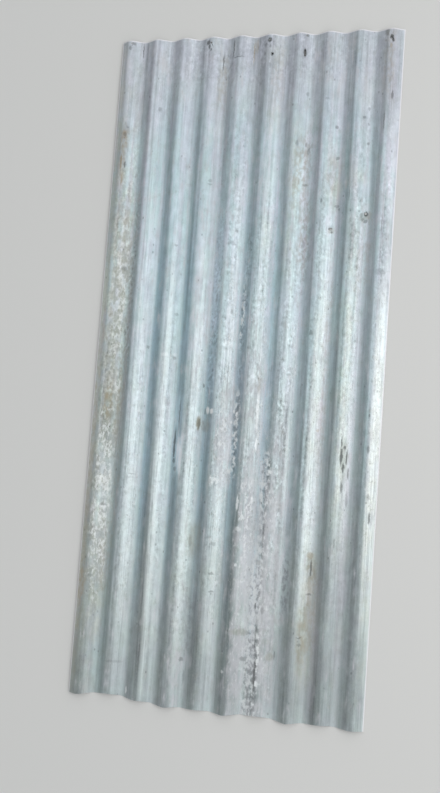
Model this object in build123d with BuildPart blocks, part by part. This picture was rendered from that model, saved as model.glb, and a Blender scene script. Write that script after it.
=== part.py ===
"""Salvaged corrugated roofing sheet in galvanised steel, rolled from one piece.

The sheet lies flat with its weather side up. X runs across the corrugations, Y along them
towards the head end, which keeps its square factory cut and most of its nail holes, and Z is up.
The origin is the middle of the sheet at the level of the valleys' undersides. Millimetres.
"""

from build123d import *

import os
from math import asin, atan2, hypot, tan
from typing import NamedTuple

# The sheet
sheet_width = 660.4
sheet_length = 1524.0
thickness = 0.55

# The rolled section, measured on the middle of the metal
pitch = 67.733
corrugation_depth = 12.7
bend_radius = 17.5
first_crest = 22.0

# The foot end was cut by hand: how far the cut falls short of the longest tongue at each crest
foot_shortfall = [1.5, 12.0, 6.0, 0.0, 4.5, 1.5, 10.5, 3.5, 10.5, 8.5]
snip_aside = -4.0
snip_width = 1.6
snip_depth = 7.0

# Nail holes, the tears that run out of two of them and the slot that a third was pulled into
nail_hole_radius = 2.4
edge_hole_radius = 2.0
tear_width = 1.6
slot_width = 4.4
slot_length = 18.0
crest_4_tear = 14.0
corner_tear = 9.0

# How far from the head end each row of nails was driven
top_row = 13.5
low_row = 46.5
corner_row = 19.5
left_edge_row = 6.0
right_edge_row = 5.5
valley_9_row = 415.0
valley_8_row = 450.0

# How far each nail missed its line, to the right of it
crest_4_aside = -5.0
crest_6_aside = -2.0
crest_6_low_aside = 6.0
corner_aside = 1.0
valley_8_aside = -6.0
left_edge_aside = 3.0
right_edge_aside = 14.0
slot_aside = 12.0

# How far a cutting tool reaches past the metal on each side
overcut = 5.0


class Place(NamedTuple):
    """A place on the sheet: a crest's number, how far right of its line, how far from the head."""

    crest: int
    aside: float
    from_head: float


class Tear(NamedTuple):
    """A rip that runs out of a nail hole: its length, and its heading from +X in degrees."""

    length: float
    heading: float


# Worked out from the sizes above
half_pitch = pitch / 2
crest_count = int((sheet_width - first_crest) // pitch) + 1
section_height = corrugation_depth + thickness
mid_height = section_height / 2
head_y = sheet_length / 2
foot_y = -sheet_length / 2
left_x = -sheet_width / 2
right_x = sheet_width / 2

# The straight flank is the inner common tangent of a crest's arc and a valley's arc
centre_rise = 2 * bend_radius - corrugation_depth
flank_slope = asin(2 * bend_radius / hypot(half_pitch, centre_rise)) - atan2(centre_rise, half_pitch)
peak_height = half_pitch * tan(flank_slope) / 2

# Nails through the crests and shoulders near the head, and two in the valleys lower down
crest_4_nail = Place(crest=4, aside=crest_4_aside, from_head=top_row)
crest_6_nail = Place(crest=6, aside=crest_6_aside, from_head=top_row)
crest_6_low_nail = Place(crest=6, aside=crest_6_low_aside, from_head=low_row)
corner_nail = Place(crest=crest_count, aside=corner_aside, from_head=corner_row)
valley_9_nail = Place(crest=9, aside=half_pitch, from_head=valley_9_row)
valley_8_nail = Place(crest=8, aside=half_pitch + valley_8_aside, from_head=valley_8_row)
nail_holes = [
    crest_4_nail,
    crest_6_nail,
    crest_6_low_nail,
    corner_nail,
    valley_9_nail,
    valley_8_nail,
]
edge_holes = [
    Place(crest=1, aside=left_edge_aside, from_head=left_edge_row),
    Place(crest=7, aside=right_edge_aside, from_head=right_edge_row),
]
torn_slot = Place(crest=7, aside=slot_aside, from_head=low_row)
tears = {
    crest_4_nail: Tear(length=crest_4_tear, heading=-64.0),
    corner_nail: Tear(length=corner_tear, heading=-66.0),
}

# The nick that the snips left in the foot end
foot_snip = Place(crest=7, aside=snip_aside, from_head=sheet_length)


def crest_x(number: float) -> float:
    """X of a crest line, counted from 1 at the left side edge."""
    return left_x + first_crest + (number - 1) * pitch


def on_sheet(place: Place, height: float = 0.0) -> tuple[float, float, float]:
    """The point at that place on the sheet, at this height."""
    return (crest_x(place.crest) + place.aside, head_y - place.from_head, height)


def zigzag() -> list[tuple[float, float]]:
    """Where the flanks' lines meet, from one crest outside the left edge to one past the right."""
    return [
        (crest_x(step / 2), mid_height + (peak_height if step % 2 == 0 else -peak_height))
        for step in range(2 * crest_count + 3)
    ]


def foot_cut() -> list[tuple[float, float]]:
    """The hand-cut foot line in plan, from left to right, with the nick where the snips overran."""
    runs = [foot_shortfall[i % len(foot_shortfall)] for i in range(crest_count)]
    line = [(crest_x(i + 1), foot_y + short) for i, short in enumerate(runs)]
    nick_x = on_sheet(foot_snip)[0]
    crests_before = round((nick_x - crest_x(1)) / pitch)
    mouth_y = foot_y + runs[crests_before]
    nick = [
        (nick_x - snip_width / 2, mouth_y),
        (nick_x, mouth_y + snip_depth),
        (nick_x + snip_width / 2, mouth_y),
    ]
    left_end = (left_x - overcut, line[0][1])
    right_end = (right_x + overcut, line[-1][1])
    return [left_end, *sorted(line + nick), right_end]


with BuildPart() as corrugated_sheet:
    # The rolled strip: arcs at the crests and valleys, straight flanks between them
    with BuildSketch(Plane.XZ):
        with BuildLine():
            FilletPolyline(*zigzag(), radius=bend_radius)
            offset(amount=thickness / 2, side=Side.BOTH)
        make_face()
        with Locations((0, mid_height)):
            Rectangle(sheet_width, 2 * (peak_height + overcut), mode=Mode.INTERSECT)
    extrude(amount=sheet_length / 2, both=True)

    # The foot end, trimmed along the hand-cut line
    with BuildSketch(Plane.XY.offset(-overcut)):
        with BuildLine():
            Polyline(
                *foot_cut(),
                (right_x + overcut, foot_y - overcut),
                (left_x - overcut, foot_y - overcut),
                close=True,
            )
        make_face()
    extrude(amount=section_height + 2 * overcut, mode=Mode.SUBTRACT)

    # Round nail holes, driven square to the roof
    drive_height = section_height + overcut
    drive_depth = section_height + 2 * overcut
    with Locations(*[on_sheet(nail, drive_height) for nail in nail_holes]):
        Hole(nail_hole_radius, depth=drive_depth)
    with Locations(*[on_sheet(nail, drive_height) for nail in edge_holes]):
        Hole(edge_hole_radius, depth=drive_depth)

    # The hole that the sheet's own creep pulled out into a slot along the crest
    with BuildSketch(Plane.XY.offset(-overcut)):
        with Locations(on_sheet(torn_slot)[:2]):
            SlotOverall(slot_length, slot_width, rotation=90)
    extrude(amount=drive_depth, mode=Mode.SUBTRACT)

    # Tears: narrow triangles with their base across the hole and their tip out in the sheet
    for nail, tear in tears.items():
        with BuildSketch(Plane.XY.offset(-overcut)):
            with Locations(Location(on_sheet(nail), (0, 0, tear.heading))):
                with BuildLine():
                    Polyline(
                        (0, -tear_width / 2),
                        (tear.length, 0),
                        (0, tear_width / 2),
                        close=True,
                    )
                make_face()
        extrude(amount=drive_depth, mode=Mode.SUBTRACT)

corrugated_sheet.part.label = "corrugated_sheet"

os.makedirs("parts", exist_ok=True)
export_step(corrugated_sheet.part, "parts/corrugated_sheet.step")
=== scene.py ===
"""Looks of a salvaged corrugated roofing sheet that lies flat and is seen from above.

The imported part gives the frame, in metres: X across the corrugations, Y along them towards the
head end, Z up. A place on the sheet is given in millimetres as `across`, from the left side edge,
and `down`, from the head end, because that is how one would walk over it with a rule.
"""

from __future__ import annotations

import logging
import math
from dataclasses import dataclass, field
from enum import Enum
from typing import Any, ClassVar

import bpy
import numpy as np
from mathutils import Matrix, Vector

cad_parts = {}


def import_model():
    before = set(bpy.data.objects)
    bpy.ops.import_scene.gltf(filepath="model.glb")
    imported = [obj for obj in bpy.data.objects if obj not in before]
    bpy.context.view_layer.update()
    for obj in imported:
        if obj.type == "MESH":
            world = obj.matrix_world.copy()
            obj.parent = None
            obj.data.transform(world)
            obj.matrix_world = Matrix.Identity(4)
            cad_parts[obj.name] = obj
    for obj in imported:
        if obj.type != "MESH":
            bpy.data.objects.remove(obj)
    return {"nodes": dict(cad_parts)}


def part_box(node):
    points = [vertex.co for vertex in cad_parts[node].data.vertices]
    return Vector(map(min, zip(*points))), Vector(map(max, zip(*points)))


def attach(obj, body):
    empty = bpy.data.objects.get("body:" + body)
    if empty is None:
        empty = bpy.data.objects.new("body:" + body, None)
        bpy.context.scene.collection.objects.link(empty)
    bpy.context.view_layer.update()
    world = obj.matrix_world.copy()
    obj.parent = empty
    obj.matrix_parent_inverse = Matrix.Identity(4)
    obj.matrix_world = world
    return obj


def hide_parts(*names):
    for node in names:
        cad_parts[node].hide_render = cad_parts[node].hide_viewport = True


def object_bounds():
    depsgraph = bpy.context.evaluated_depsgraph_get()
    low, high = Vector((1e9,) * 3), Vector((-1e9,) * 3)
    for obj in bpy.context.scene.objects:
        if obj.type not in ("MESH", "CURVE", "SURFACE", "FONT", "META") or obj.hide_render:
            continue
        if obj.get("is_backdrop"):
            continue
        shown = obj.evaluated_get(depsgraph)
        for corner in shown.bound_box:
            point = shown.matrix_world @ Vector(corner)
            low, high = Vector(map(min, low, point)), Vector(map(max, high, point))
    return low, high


LOG = logging.getLogger("corrugated_sheet")
NODE = "corrugated_sheet"

# A millimetre in metres, and the sheet's size in millimetres
MM = 0.001
SHEET_WIDTH = 660.4
SHEET_LENGTH = 1524.0

# The Mix node has sockets of one name for each kind of value: these are the ones for colours
MIX_SHARE, MIX_BELOW, MIX_ABOVE, MIX_RESULT = 0, 6, 7, 2

Colour = tuple[float, float, float]


class Side(Enum):
    """The three kinds of surface on the sheet, in the order of the mesh's material slots."""

    WEATHER = 0
    UNDER = 1
    CUT = 2


class Wear(Enum):
    """Kinds of weathering and painted light that cover an area, each an attribute of the mesh."""

    BLOOM = "painted_highlight"
    PALE_FILM = "pale_film"
    WHITE_RUST = "white_rust"
    CRUST = "crust"
    EARTH = "earth"
    OLIVE = "olive"
    GRIME = "grime"
    CREAM = "cream"
    AQUA = "aqua"
    ROSE = "rose"
    SPECKLE = "speckle"
    PALE_STREAK_AND_SHEEN = "pale_streak_and_sheen"
    DARK_STREAK_AND_SHADE = "dark_streak_and_shade"


class Tone(Enum):
    """What a weather-side mark is made of; dark ones round nail holes are partly painted shade."""

    DARK = "dark"
    WHITE = "white"
    BROWN = "brown"
    OLIVE = "olive"


@dataclass(frozen=True)
class Spot:
    """An ellipse on the sheet: an area of weathering, a small mark or a dent.

    Attributes:
        across: Centre, in millimetres from the left side edge.
        down: Centre, in millimetres from the head end.
        half_across: Half its width.
        half_down: Half its length.
        strength: How much of it there is at its centre, about 1 for a full cover. For a dent, how
            far its middle was pushed up, in millimetres.
    """

    across: float
    down: float
    half_across: float
    half_down: float
    strength: float

    # Where the edge of a mark ends and starts, in half widths from its centre
    EDGE_END: ClassVar[float] = 1.25
    EDGE_START: ClassVar[float] = 0.55
    # How far in all the outline of a mark sways, across and along the sheet, in millimetres
    SWAY: ClassVar[tuple[float, float]] = (5.0, 7.0)

    def off(self, across: np.ndarray, down: np.ndarray) -> tuple[np.ndarray, np.ndarray]:
        """How far these places are from its centre, in half widths and in half lengths."""
        return (across - self.across) / self.half_across, (down - self.down) / self.half_down


def spots(*rows: tuple[float, float, float, float, float]) -> tuple[Spot, ...]:
    """Makes a spot of each row: across, down, half across, half down and strength."""
    return tuple(Spot(*row) for row in rows)


@dataclass(frozen=True)
class NailHole:
    """A nail hole, with the slot or the tear that it was pulled into, in millimetres.

    Attributes:
        crest: Number of the crest that it is measured from, from 1 at the left.
        aside: How far right of that crest's line it is.
        from_head: How far below the head end it is.
        radius: Radius of the round hole.
        half_slot: Half the straight part of a slot along the sheet, or 0.
        tear: Length of the rip that runs out of it, or 0.
        heading: Direction of the rip, in degrees from +X.
        punch: How far its rim was driven up, less than 0 where it was driven down.
    """

    crest: int
    aside: float
    from_head: float
    radius: float = 2.4
    half_slot: float = 0.0
    tear: float = 0.0
    heading: float = 0.0
    punch: float = -0.6

    TEAR_HALF_WIDTH: ClassVar[float] = 0.8

    def reach(self, angle: np.ndarray) -> np.ndarray:
        """Distance from the centre to the outline, the slot's or the tear's, whichever is further.

        Along a direction with cosine c and sine s the slot's straight side is at radius / |c|, and
        its round end at half_slot |s| + sqrt(radius² - (half_slot c)²). The tear is a thin
        triangle whose side is where x / tear + |y| / half width = 1, with x along its heading.

        Args:
            angle: Directions in radians, from +X.

        Returns:
            The distances in millimetres.
        """
        cos, sin = np.abs(np.cos(angle)), np.abs(np.sin(angle))
        on_side = self.radius * sin <= self.half_slot * cos
        side = self.radius / np.maximum(cos, 1e-9)
        under_root = np.maximum(self.radius**2 - (self.half_slot * cos) ** 2, 0.0)
        end = self.half_slot * sin + np.sqrt(under_root)
        outline = np.where(on_side, side, end)
        if self.tear:
            off = angle - math.radians(self.heading)
            ahead = np.maximum(np.cos(off), 0.0) / self.tear
            spike = 1.0 / np.maximum(ahead + np.abs(np.sin(off)) / self.TEAR_HALF_WIDTH, 1e-3)
            outline = np.where(np.cos(off) > 0.0, np.maximum(outline, spike), outline)
        return outline


@dataclass(frozen=True)
class Ripple:
    """A smooth wandering field: a few sine waves in drawn directions, added up.

    Attributes:
        size_across: Typical wave length across the sheet, in millimetres.
        size_down: Typical wave length along the sheet, in millimetres.
        height: How far the field mostly goes from 0.
        seed: Start of the random draw of the waves.
        waves: How many waves are added.
    """

    size_across: float
    size_down: float
    height: float
    seed: int
    waves: int = 7

    # How far the waves' rates spread about one wave in each size
    SPREAD_ACROSS: ClassVar[tuple[float, float]] = (-1.4, 1.4)
    SPREAD_DOWN: ClassVar[tuple[float, float]] = (0.5, 1.5)

    def at(self, across: np.ndarray, down: np.ndarray) -> np.ndarray:
        """The field at these places: the mean of sin(2 pi (f across + g down) + phase), scaled up.

        Args:
            across: Places across the sheet, in millimetres.
            down: Places along the sheet, in millimetres.

        Returns:
            Values that mostly lie between -height and height.
        """
        draw = np.random.default_rng(self.seed)
        rate_across = draw.uniform(*self.SPREAD_ACROSS, self.waves) / self.size_across
        rate_down = draw.uniform(*self.SPREAD_DOWN, self.waves) / self.size_down
        phase = draw.uniform(0.0, 2.0 * math.pi, self.waves)
        turns = across[:, None] * rate_across + down[:, None] * rate_down
        waves = np.sin(2.0 * math.pi * turns + phase).sum(axis=1)
        return self.height * waves / math.sqrt(self.waves)


@dataclass(frozen=True)
class RolledSection:
    """The corrugation across the sheet, on the middle of the metal, in millimetres.

    Attributes:
        left: X of the left side edge.
        floor: Height of the middle of the metal at the bottom of a valley.
        pitch: Distance between crests.
        depth: Height of a crest over a valley.
        bend_radius: Radius of the arcs at crests and valleys.
        first_crest: Distance of the first crest from the left side edge.
    """

    left: float
    floor: float
    pitch: float = 67.733
    depth: float = 12.7
    bend_radius: float = 17.5
    first_crest: float = 22.0

    @property
    def flank_angle(self) -> float:
        """Slope of the straight flank that touches both arcs.

        Returns:
            The angle in radians.
        """
        half_pitch = self.pitch / 2
        rise = 2 * self.bend_radius - self.depth
        lean = math.atan2(rise, half_pitch)
        return math.asin(2 * self.bend_radius / math.hypot(half_pitch, rise)) - lean

    @property
    def half_arc(self) -> float:
        """Half the width of the arc at a crest."""
        return self.bend_radius * math.sin(self.flank_angle)

    def crest_x(self, number: float) -> float:
        """X of a crest line, counted from 1 at the left."""
        return self.left + self.first_crest + (number - 1) * self.pitch

    def height(self, x: np.ndarray) -> np.ndarray:
        """Height of the section: an arc at the crest, a straight flank, an arc at the valley.

        With d the distance to the nearest crest line, the arcs are R - sqrt(R² - d²) below the
        crest and as much above the valley, and the flank is the straight line between their ends.

        Args:
            x: Places across the sheet.

        Returns:
            Heights over the underside of the valleys.
        """
        half_pitch = self.pitch / 2
        off = np.abs((x - self.crest_x(1) + half_pitch) % self.pitch - half_pitch)
        radius, half_arc = self.bend_radius, self.half_arc
        drop = radius * (1.0 - math.cos(self.flank_angle))
        top = self.floor + self.depth
        crest = top - radius + np.sqrt(radius**2 - np.minimum(off, half_arc) ** 2)
        beyond = np.minimum(half_pitch - off, half_arc)
        valley = self.floor + radius - np.sqrt(radius**2 - beyond**2)
        flank = top - drop - (off - half_arc) * math.tan(self.flank_angle)
        return np.where(off < half_arc, crest, np.where(off > half_pitch - half_arc, valley, flank))


@dataclass
class CorrugatedSheet:
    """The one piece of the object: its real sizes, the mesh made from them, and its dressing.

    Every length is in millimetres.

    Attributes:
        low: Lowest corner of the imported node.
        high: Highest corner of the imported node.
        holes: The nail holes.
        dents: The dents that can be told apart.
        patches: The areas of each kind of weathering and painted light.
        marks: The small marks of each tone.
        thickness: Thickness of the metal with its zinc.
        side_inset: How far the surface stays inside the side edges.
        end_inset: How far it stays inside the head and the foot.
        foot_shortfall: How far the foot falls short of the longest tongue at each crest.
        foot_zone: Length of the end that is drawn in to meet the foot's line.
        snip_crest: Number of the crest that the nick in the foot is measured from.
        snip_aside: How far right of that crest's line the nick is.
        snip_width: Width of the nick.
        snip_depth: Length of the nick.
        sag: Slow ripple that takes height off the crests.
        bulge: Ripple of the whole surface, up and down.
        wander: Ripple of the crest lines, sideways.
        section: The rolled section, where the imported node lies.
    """

    low: np.ndarray
    high: np.ndarray
    holes: tuple[NailHole, ...]
    dents: tuple[Spot, ...]
    patches: dict[Wear, tuple[Spot, ...]]
    marks: dict[Tone, tuple[Spot, ...]]
    thickness: float = 0.55
    side_inset: float = 0.15
    end_inset: float = 0.05
    foot_shortfall: tuple[float, ...] = (1.5, 12.0, 6.0, 0.0, 4.5, 1.5, 10.5, 3.5, 10.5, 8.5)
    foot_zone: float = 40.0
    snip_crest: int = 7
    snip_aside: float = -4.0
    snip_width: float = 1.6
    snip_depth: float = 7.0
    sag: Ripple = Ripple(420.0, 310.0, 1.0, seed=3)
    bulge: Ripple = Ripple(40.0, 190.0, 0.16, seed=5)
    wander: Ripple = Ripple(260.0, 480.0, 0.45, seed=11)
    section: RolledSection = field(init=False)

    # Lines of the grid on half an arc and on a flank, and where they lie along the sheet: each
    # zone's start and end from the head, and the step between its lines. The foot's end has its own
    ARC_LINES: ClassVar[int] = 4
    FLANK_LINES: ClassVar[int] = 5
    FOOT_LINES: ClassVar[int] = 13
    ZONES: ClassVar[tuple[tuple[float, float, float], ...]] = (
        (0.0, 12.0, 1.5), (12.0, 66.0, 3.0), (66.0, 396.0, 8.25), (396.0, 468.0, 3.0),
        (468.0, 836.0, 8.0), (836.0, 1004.0, 5.6), (1004.0, 1484.0, 8.0))

    def __post_init__(self) -> None:
        """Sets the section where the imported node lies."""
        self.section = RolledSection(left=float(self.low[0]), floor=self.thickness / 2)

    @property
    def width(self) -> float:
        """Width over the side edges."""
        return float(self.high[0] - self.low[0])

    @property
    def length(self) -> float:
        """Length from the head to the longest tongue of the foot."""
        return float(self.high[1] - self.low[1])

    @property
    def crests(self) -> int:
        """Number of crests."""
        return int((self.width - self.section.first_crest) // self.section.pitch) + 1

    @property
    def nick_x(self) -> float:
        """X of the nick that the snips left in the foot."""
        return self.section.crest_x(self.snip_crest) + self.snip_aside

    def columns(self) -> np.ndarray:
        """X of the grid's lines: close on the arcs, wider on the flanks, exact at the nick.

        Returns:
            Ascending X.
        """
        half_arc, half_pitch = self.section.half_arc, self.section.pitch / 2
        arc = np.linspace(0.0, half_arc, self.ARC_LINES)
        flank = np.linspace(half_arc, half_pitch - half_arc, self.FLANK_LINES)[1:]
        valley = np.linspace(half_pitch - half_arc, half_pitch, self.ARC_LINES)[1:]
        half = np.concatenate([arc, flank, valley])
        whole = np.unique(np.round(np.concatenate([-half, half]), 6))[:-1]
        starts = [self.section.crest_x(n) for n in range(0, self.crests + 2)]
        lines = np.concatenate([start + whole for start in starts])
        left, right = self.low[0] + self.side_inset, self.high[0] - self.side_inset
        clear = 1.2
        lines = lines[(lines > left + clear) & (lines < right - clear)]
        mouth = self.nick_x + np.array([-0.5, 0.0, 0.5]) * self.snip_width
        lines = lines[np.abs(lines - self.nick_x) > self.snip_width]
        return np.sort(np.concatenate([[left], lines, mouth, [right]]))

    def rows(self) -> np.ndarray:
        """Distance of the grid's lines from the head: close near the ends and the valley nails.

        Returns:
            Ascending distances, from 0 to the sheet's length.
        """
        lines = [np.arange(start, stop, step) for start, stop, step in self.ZONES]
        lines.append(np.linspace(self.length - self.foot_zone, self.length, self.FOOT_LINES))
        return np.concatenate(lines)

    def foot_line(self, x: np.ndarray) -> np.ndarray:
        """How far the hand-cut foot falls short at each X, with the V where the snips overran.

        The burr is the size of a short sine times a long one.

        Args:
            x: Places across the sheet.

        Returns:
            Shortfalls, straight from crest to crest, with the V and the burr added.
        """
        crest_x = np.array([self.section.crest_x(n + 1) for n in range(self.crests)])
        short = np.interp(x, crest_x, np.array(self.foot_shortfall))
        notch = np.clip(1.0 - np.abs(x - self.nick_x) / (self.snip_width / 2), 0.0, 1.0)
        burr, bite, stroke = 0.35, 3.1, 17.0
        return (short + notch * self.snip_depth
                + np.abs(burr * np.sin(x / bite) * np.sin(x / stroke + 1.0)))

    def plan(self) -> tuple[np.ndarray, np.ndarray, np.ndarray]:
        """Lays out the middle surface in plan: a grid, with a ring of faces round each hole.

        Returns:
            X and Y of the points, and the faces as rows of four indices, seen anticlockwise.
        """
        columns, rows = self.columns(), self.rows()
        head, foot = self.high[1] - self.end_inset, self.low[1] + self.end_inset
        across, down = np.meshgrid(columns, rows)
        share = np.clip((down - self.length + self.foot_zone) / self.foot_zone, 0.0, 1.0)
        y = head - down * (head - foot) / self.length + share * self.foot_line(across)
        x_all, y_all = [across.ravel()], [y.ravel()]
        index = np.arange(across.size).reshape(across.shape)
        kept = np.ones((len(rows) - 1, len(columns) - 1), bool)
        quads = []
        count = across.size
        for hole in self.holes:
            centre_x = self.section.crest_x(hole.crest) + hole.aside
            centre_y = self.high[1] - hole.from_head
            c0, c1, r0, r1 = self.window(hole, centre_x, columns, rows)
            kept[r0:r1, c0:c1] = False
            loop = np.concatenate([index[r0:r1, c0], index[r1, c0:c1],
                                   index[r1:r0:-1, c1], index[r0, c1:c0:-1]])
            ring_x, ring_y, faces = self.collar(
                hole, (centre_x, centre_y), (x_all[0][loop], y_all[0][loop]), loop, count)
            x_all.append(ring_x)
            y_all.append(ring_y)
            quads.append(faces)
            count += len(ring_x)
        corner = np.stack([index[:-1, :-1], index[1:, :-1], index[1:, 1:], index[:-1, 1:]], -1)
        quads.insert(0, corner[kept])
        used, faces = np.unique(np.concatenate(quads), return_inverse=True)
        return np.concatenate(x_all)[used], np.concatenate(y_all)[used], faces.reshape(-1, 4)

    @staticmethod
    def window(hole: NailHole, centre_x: float, columns: np.ndarray,
               rows: np.ndarray) -> tuple[int, int, int, int]:
        """Finds the block of grid cells that a hole's collar takes the place of.

        Args:
            hole: The hole.
            centre_x: X of its centre.
            columns: X of the grid's lines.
            rows: Distance of the grid's lines from the head.

        Returns:
            First and last column, and first and last row, as indices of grid lines.
        """
        margin = 5.0
        angle = np.linspace(-math.pi, math.pi, 361)
        far = hole.reach(angle)
        dx, dy = far * np.cos(angle), far * np.sin(angle)
        c0 = int(np.searchsorted(columns, centre_x + dx.min() - margin))
        c1 = int(np.searchsorted(columns, centre_x + dx.max() + margin))
        r0 = int(np.searchsorted(rows, hole.from_head - dy.max() - margin))
        r1 = int(np.searchsorted(rows, hole.from_head - dy.min() + margin))
        return max(c0, 1), min(c1, len(columns) - 2), max(r0, 1), r1

    @staticmethod
    def collar(hole: NailHole, centre: tuple[float, float], edge: tuple[np.ndarray, np.ndarray],
               loop: np.ndarray, first: int) -> tuple[np.ndarray, np.ndarray, np.ndarray]:
        """Makes rings of points from a hole's outline out to the edge of its window.

        Ring k lies at (1 - s) outline + s edge, with s = (k / rings)^crowding, so that the rings
        crowd at the rim. The outline's points lie in the directions of the edge's points, moved to
        the tip and the roots of a tear where there is one.

        Args:
            hole: The hole.
            centre: Its centre in plan.
            edge: X and Y of the window's points, anticlockwise.
            loop: Indices of those points.
            first: Index that the first new point will have.

        Returns:
            X and Y of the new points, and the faces between the rings.
        """
        rings, crowding, root_share = 6, 1.6, 0.85
        off_x, off_y = edge[0] - centre[0], edge[1] - centre[1]
        angle = np.unwrap(np.arctan2(off_y, off_x))
        if hole.tear:
            heading = math.radians(hole.heading)
            turns = np.angle(np.exp(1j * (angle - heading)))
            tip = int(np.abs(turns).argmin())
            root = math.asin(NailHole.TEAR_HALF_WIDTH * root_share / hole.radius)
            ahead = angle[tip] - turns[tip]
            near = np.array([tip - 1, tip, tip + 1]) % len(angle)
            angle[near] = ahead + np.array([-root, 0.0, root])
        far = hole.reach(angle)
        rim_x, rim_y = far * np.cos(angle), far * np.sin(angle)
        share = (np.arange(rings) / rings)[:, None] ** crowding
        x = centre[0] + (1.0 - share) * rim_x + share * off_x
        y = centre[1] + (1.0 - share) * rim_y + share * off_y
        count = len(loop)
        index = np.vstack([first + np.arange(rings * count).reshape(rings, count), loop])
        after = np.roll(index, -1, axis=1)
        faces = np.stack([index[:-1], index[1:], after[1:], after[:-1]], -1).reshape(-1, 4)
        return x.ravel(), y.ravel(), faces

    def rim(self, hole: NailHole, x: np.ndarray, y: np.ndarray) -> np.ndarray:
        """Height that driving a nail, and tearing the metal off it, gave to the points near it.

        The punched rim fades as exp(-distance / fade). Along a tear one lip stands up and the other
        is pressed down, as lift tanh(side / edge) exp(-|side| / reach), most of it near the middle.

        Args:
            hole: The nail hole.
            x: X of the points in plan.
            y: Y of the points in plan.

        Returns:
            Heights to add.
        """
        fade, lift, edge, reach, middle, spread = 3.0, 0.7, 0.5, 3.5, 0.45, 0.5
        off_x = x - self.section.crest_x(hole.crest) - hole.aside
        off_y = y - self.high[1] + hole.from_head
        angle, far = np.arctan2(off_y, off_x), np.hypot(off_x, off_y)
        height = hole.punch * np.exp(-np.maximum(far - hole.reach(angle), 0.0) / fade)
        if hole.tear:
            turned = angle - math.radians(hole.heading)
            side, along = np.sin(turned) * far, np.cos(turned) * far
            on_tear = np.exp(-((along / hole.tear - middle) / spread) ** 2)
            height = height + lift * np.tanh(side / edge) * np.exp(-np.abs(side) / reach) * on_tear
        return height

    def middle(self, x: np.ndarray, y: np.ndarray) -> np.ndarray:
        """Lifts points of the plan onto the worn middle surface.

        Its height is the section's, plus every dent's push times exp(-(a² + b²)), with a and b the
        distances from its centre in half widths, plus each hole's rim, plus the ripples: the sag
        takes most off the crests. The crest lines wander sideways by a ripple that dies out at the
        side edges. The result stays in the height of the true sheet.

        Args:
            x: X of the points in plan.
            y: Y of the points in plan.

        Returns:
            The points as rows of X, Y and Z.
        """
        sag_depth, straight_margin = 0.22, 30.0
        across, down = x - self.low[0], self.high[1] - y
        z = self.section.height(x)
        for dent in self.dents:
            a, b = dent.off(across, down)
            z = z + dent.strength * np.exp(-(a**2) - b**2)
        for hole in self.holes:
            z = z + self.rim(hole, x, y)
        sunk = (1.0 + self.sag.at(across, down)).clip(0.0, 2.0)
        z = z - sag_depth * sunk * (z / self.high[2])
        z = z + self.bulge.at(across, down)
        from_side = np.minimum(across, self.width - across)
        inside = np.clip(from_side / straight_margin, 0.0, 1.0)
        moved = x + inside * self.wander.at(across, down)
        low, high = self.thickness / 2, self.high[2] - self.thickness / 2
        return np.stack([moved, y, z.clip(low, high)], -1)

    def shell(self) -> tuple[np.ndarray, np.ndarray, np.ndarray, np.ndarray]:
        """Gives the middle surface its thickness, half along the normal on each side, and rims.

        Returns:
            Points, faces, each face's side as a slot number, and the points in plan.
        """
        x, y, quads = self.plan()
        middle = self.middle(x, y)
        corner = middle[quads]
        flat = np.cross(corner[:, 2] - corner[:, 0], corner[:, 3] - corner[:, 1])
        normal = np.zeros_like(middle)
        np.add.at(normal, quads.ravel(), np.repeat(flat, 4, axis=0))
        normal /= np.linalg.norm(normal, axis=1, keepdims=True)
        count = len(middle)
        points = np.concatenate([middle + normal * self.thickness / 2,
                                 middle - normal * self.thickness / 2])
        start, end = quads.ravel(), np.roll(quads, -1, axis=1).ravel()
        forward = start.astype(np.int64) * count + end
        free = ~np.isin(forward, end.astype(np.int64) * count + start)
        rim = np.stack([end[free], start[free], start[free] + count, end[free] + count], -1)
        faces = np.concatenate([quads, quads[:, ::-1] + count, rim])
        slots = np.repeat([Side.WEATHER.value, Side.UNDER.value, Side.CUT.value],
                          [len(quads), len(quads), len(rim)])
        return points, faces, slots, np.stack([x, y], -1)

    def weathering(self, across: np.ndarray, down: np.ndarray) -> dict[Wear, np.ndarray]:
        """Works out how much there is of each kind of weathering and painted light at each point.

        A patch is strength times exp(-(a⁴ + b⁴)), with a and b the distances from its centre in
        half widths. Where several of a kind meet, the largest counts.

        Args:
            across: Places across the sheet.
            down: Places along the sheet.

        Returns:
            For each kind of weathering, its value at each point.
        """
        maps = {wear: np.zeros_like(across) for wear in Wear}
        for wear, patches in self.patches.items():
            for patch in patches:
                a, b = patch.off(across, down)
                value = patch.strength * np.exp(-(a**4) - b**4)
                maps[wear] = np.maximum(maps[wear], value)
        return maps

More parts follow.
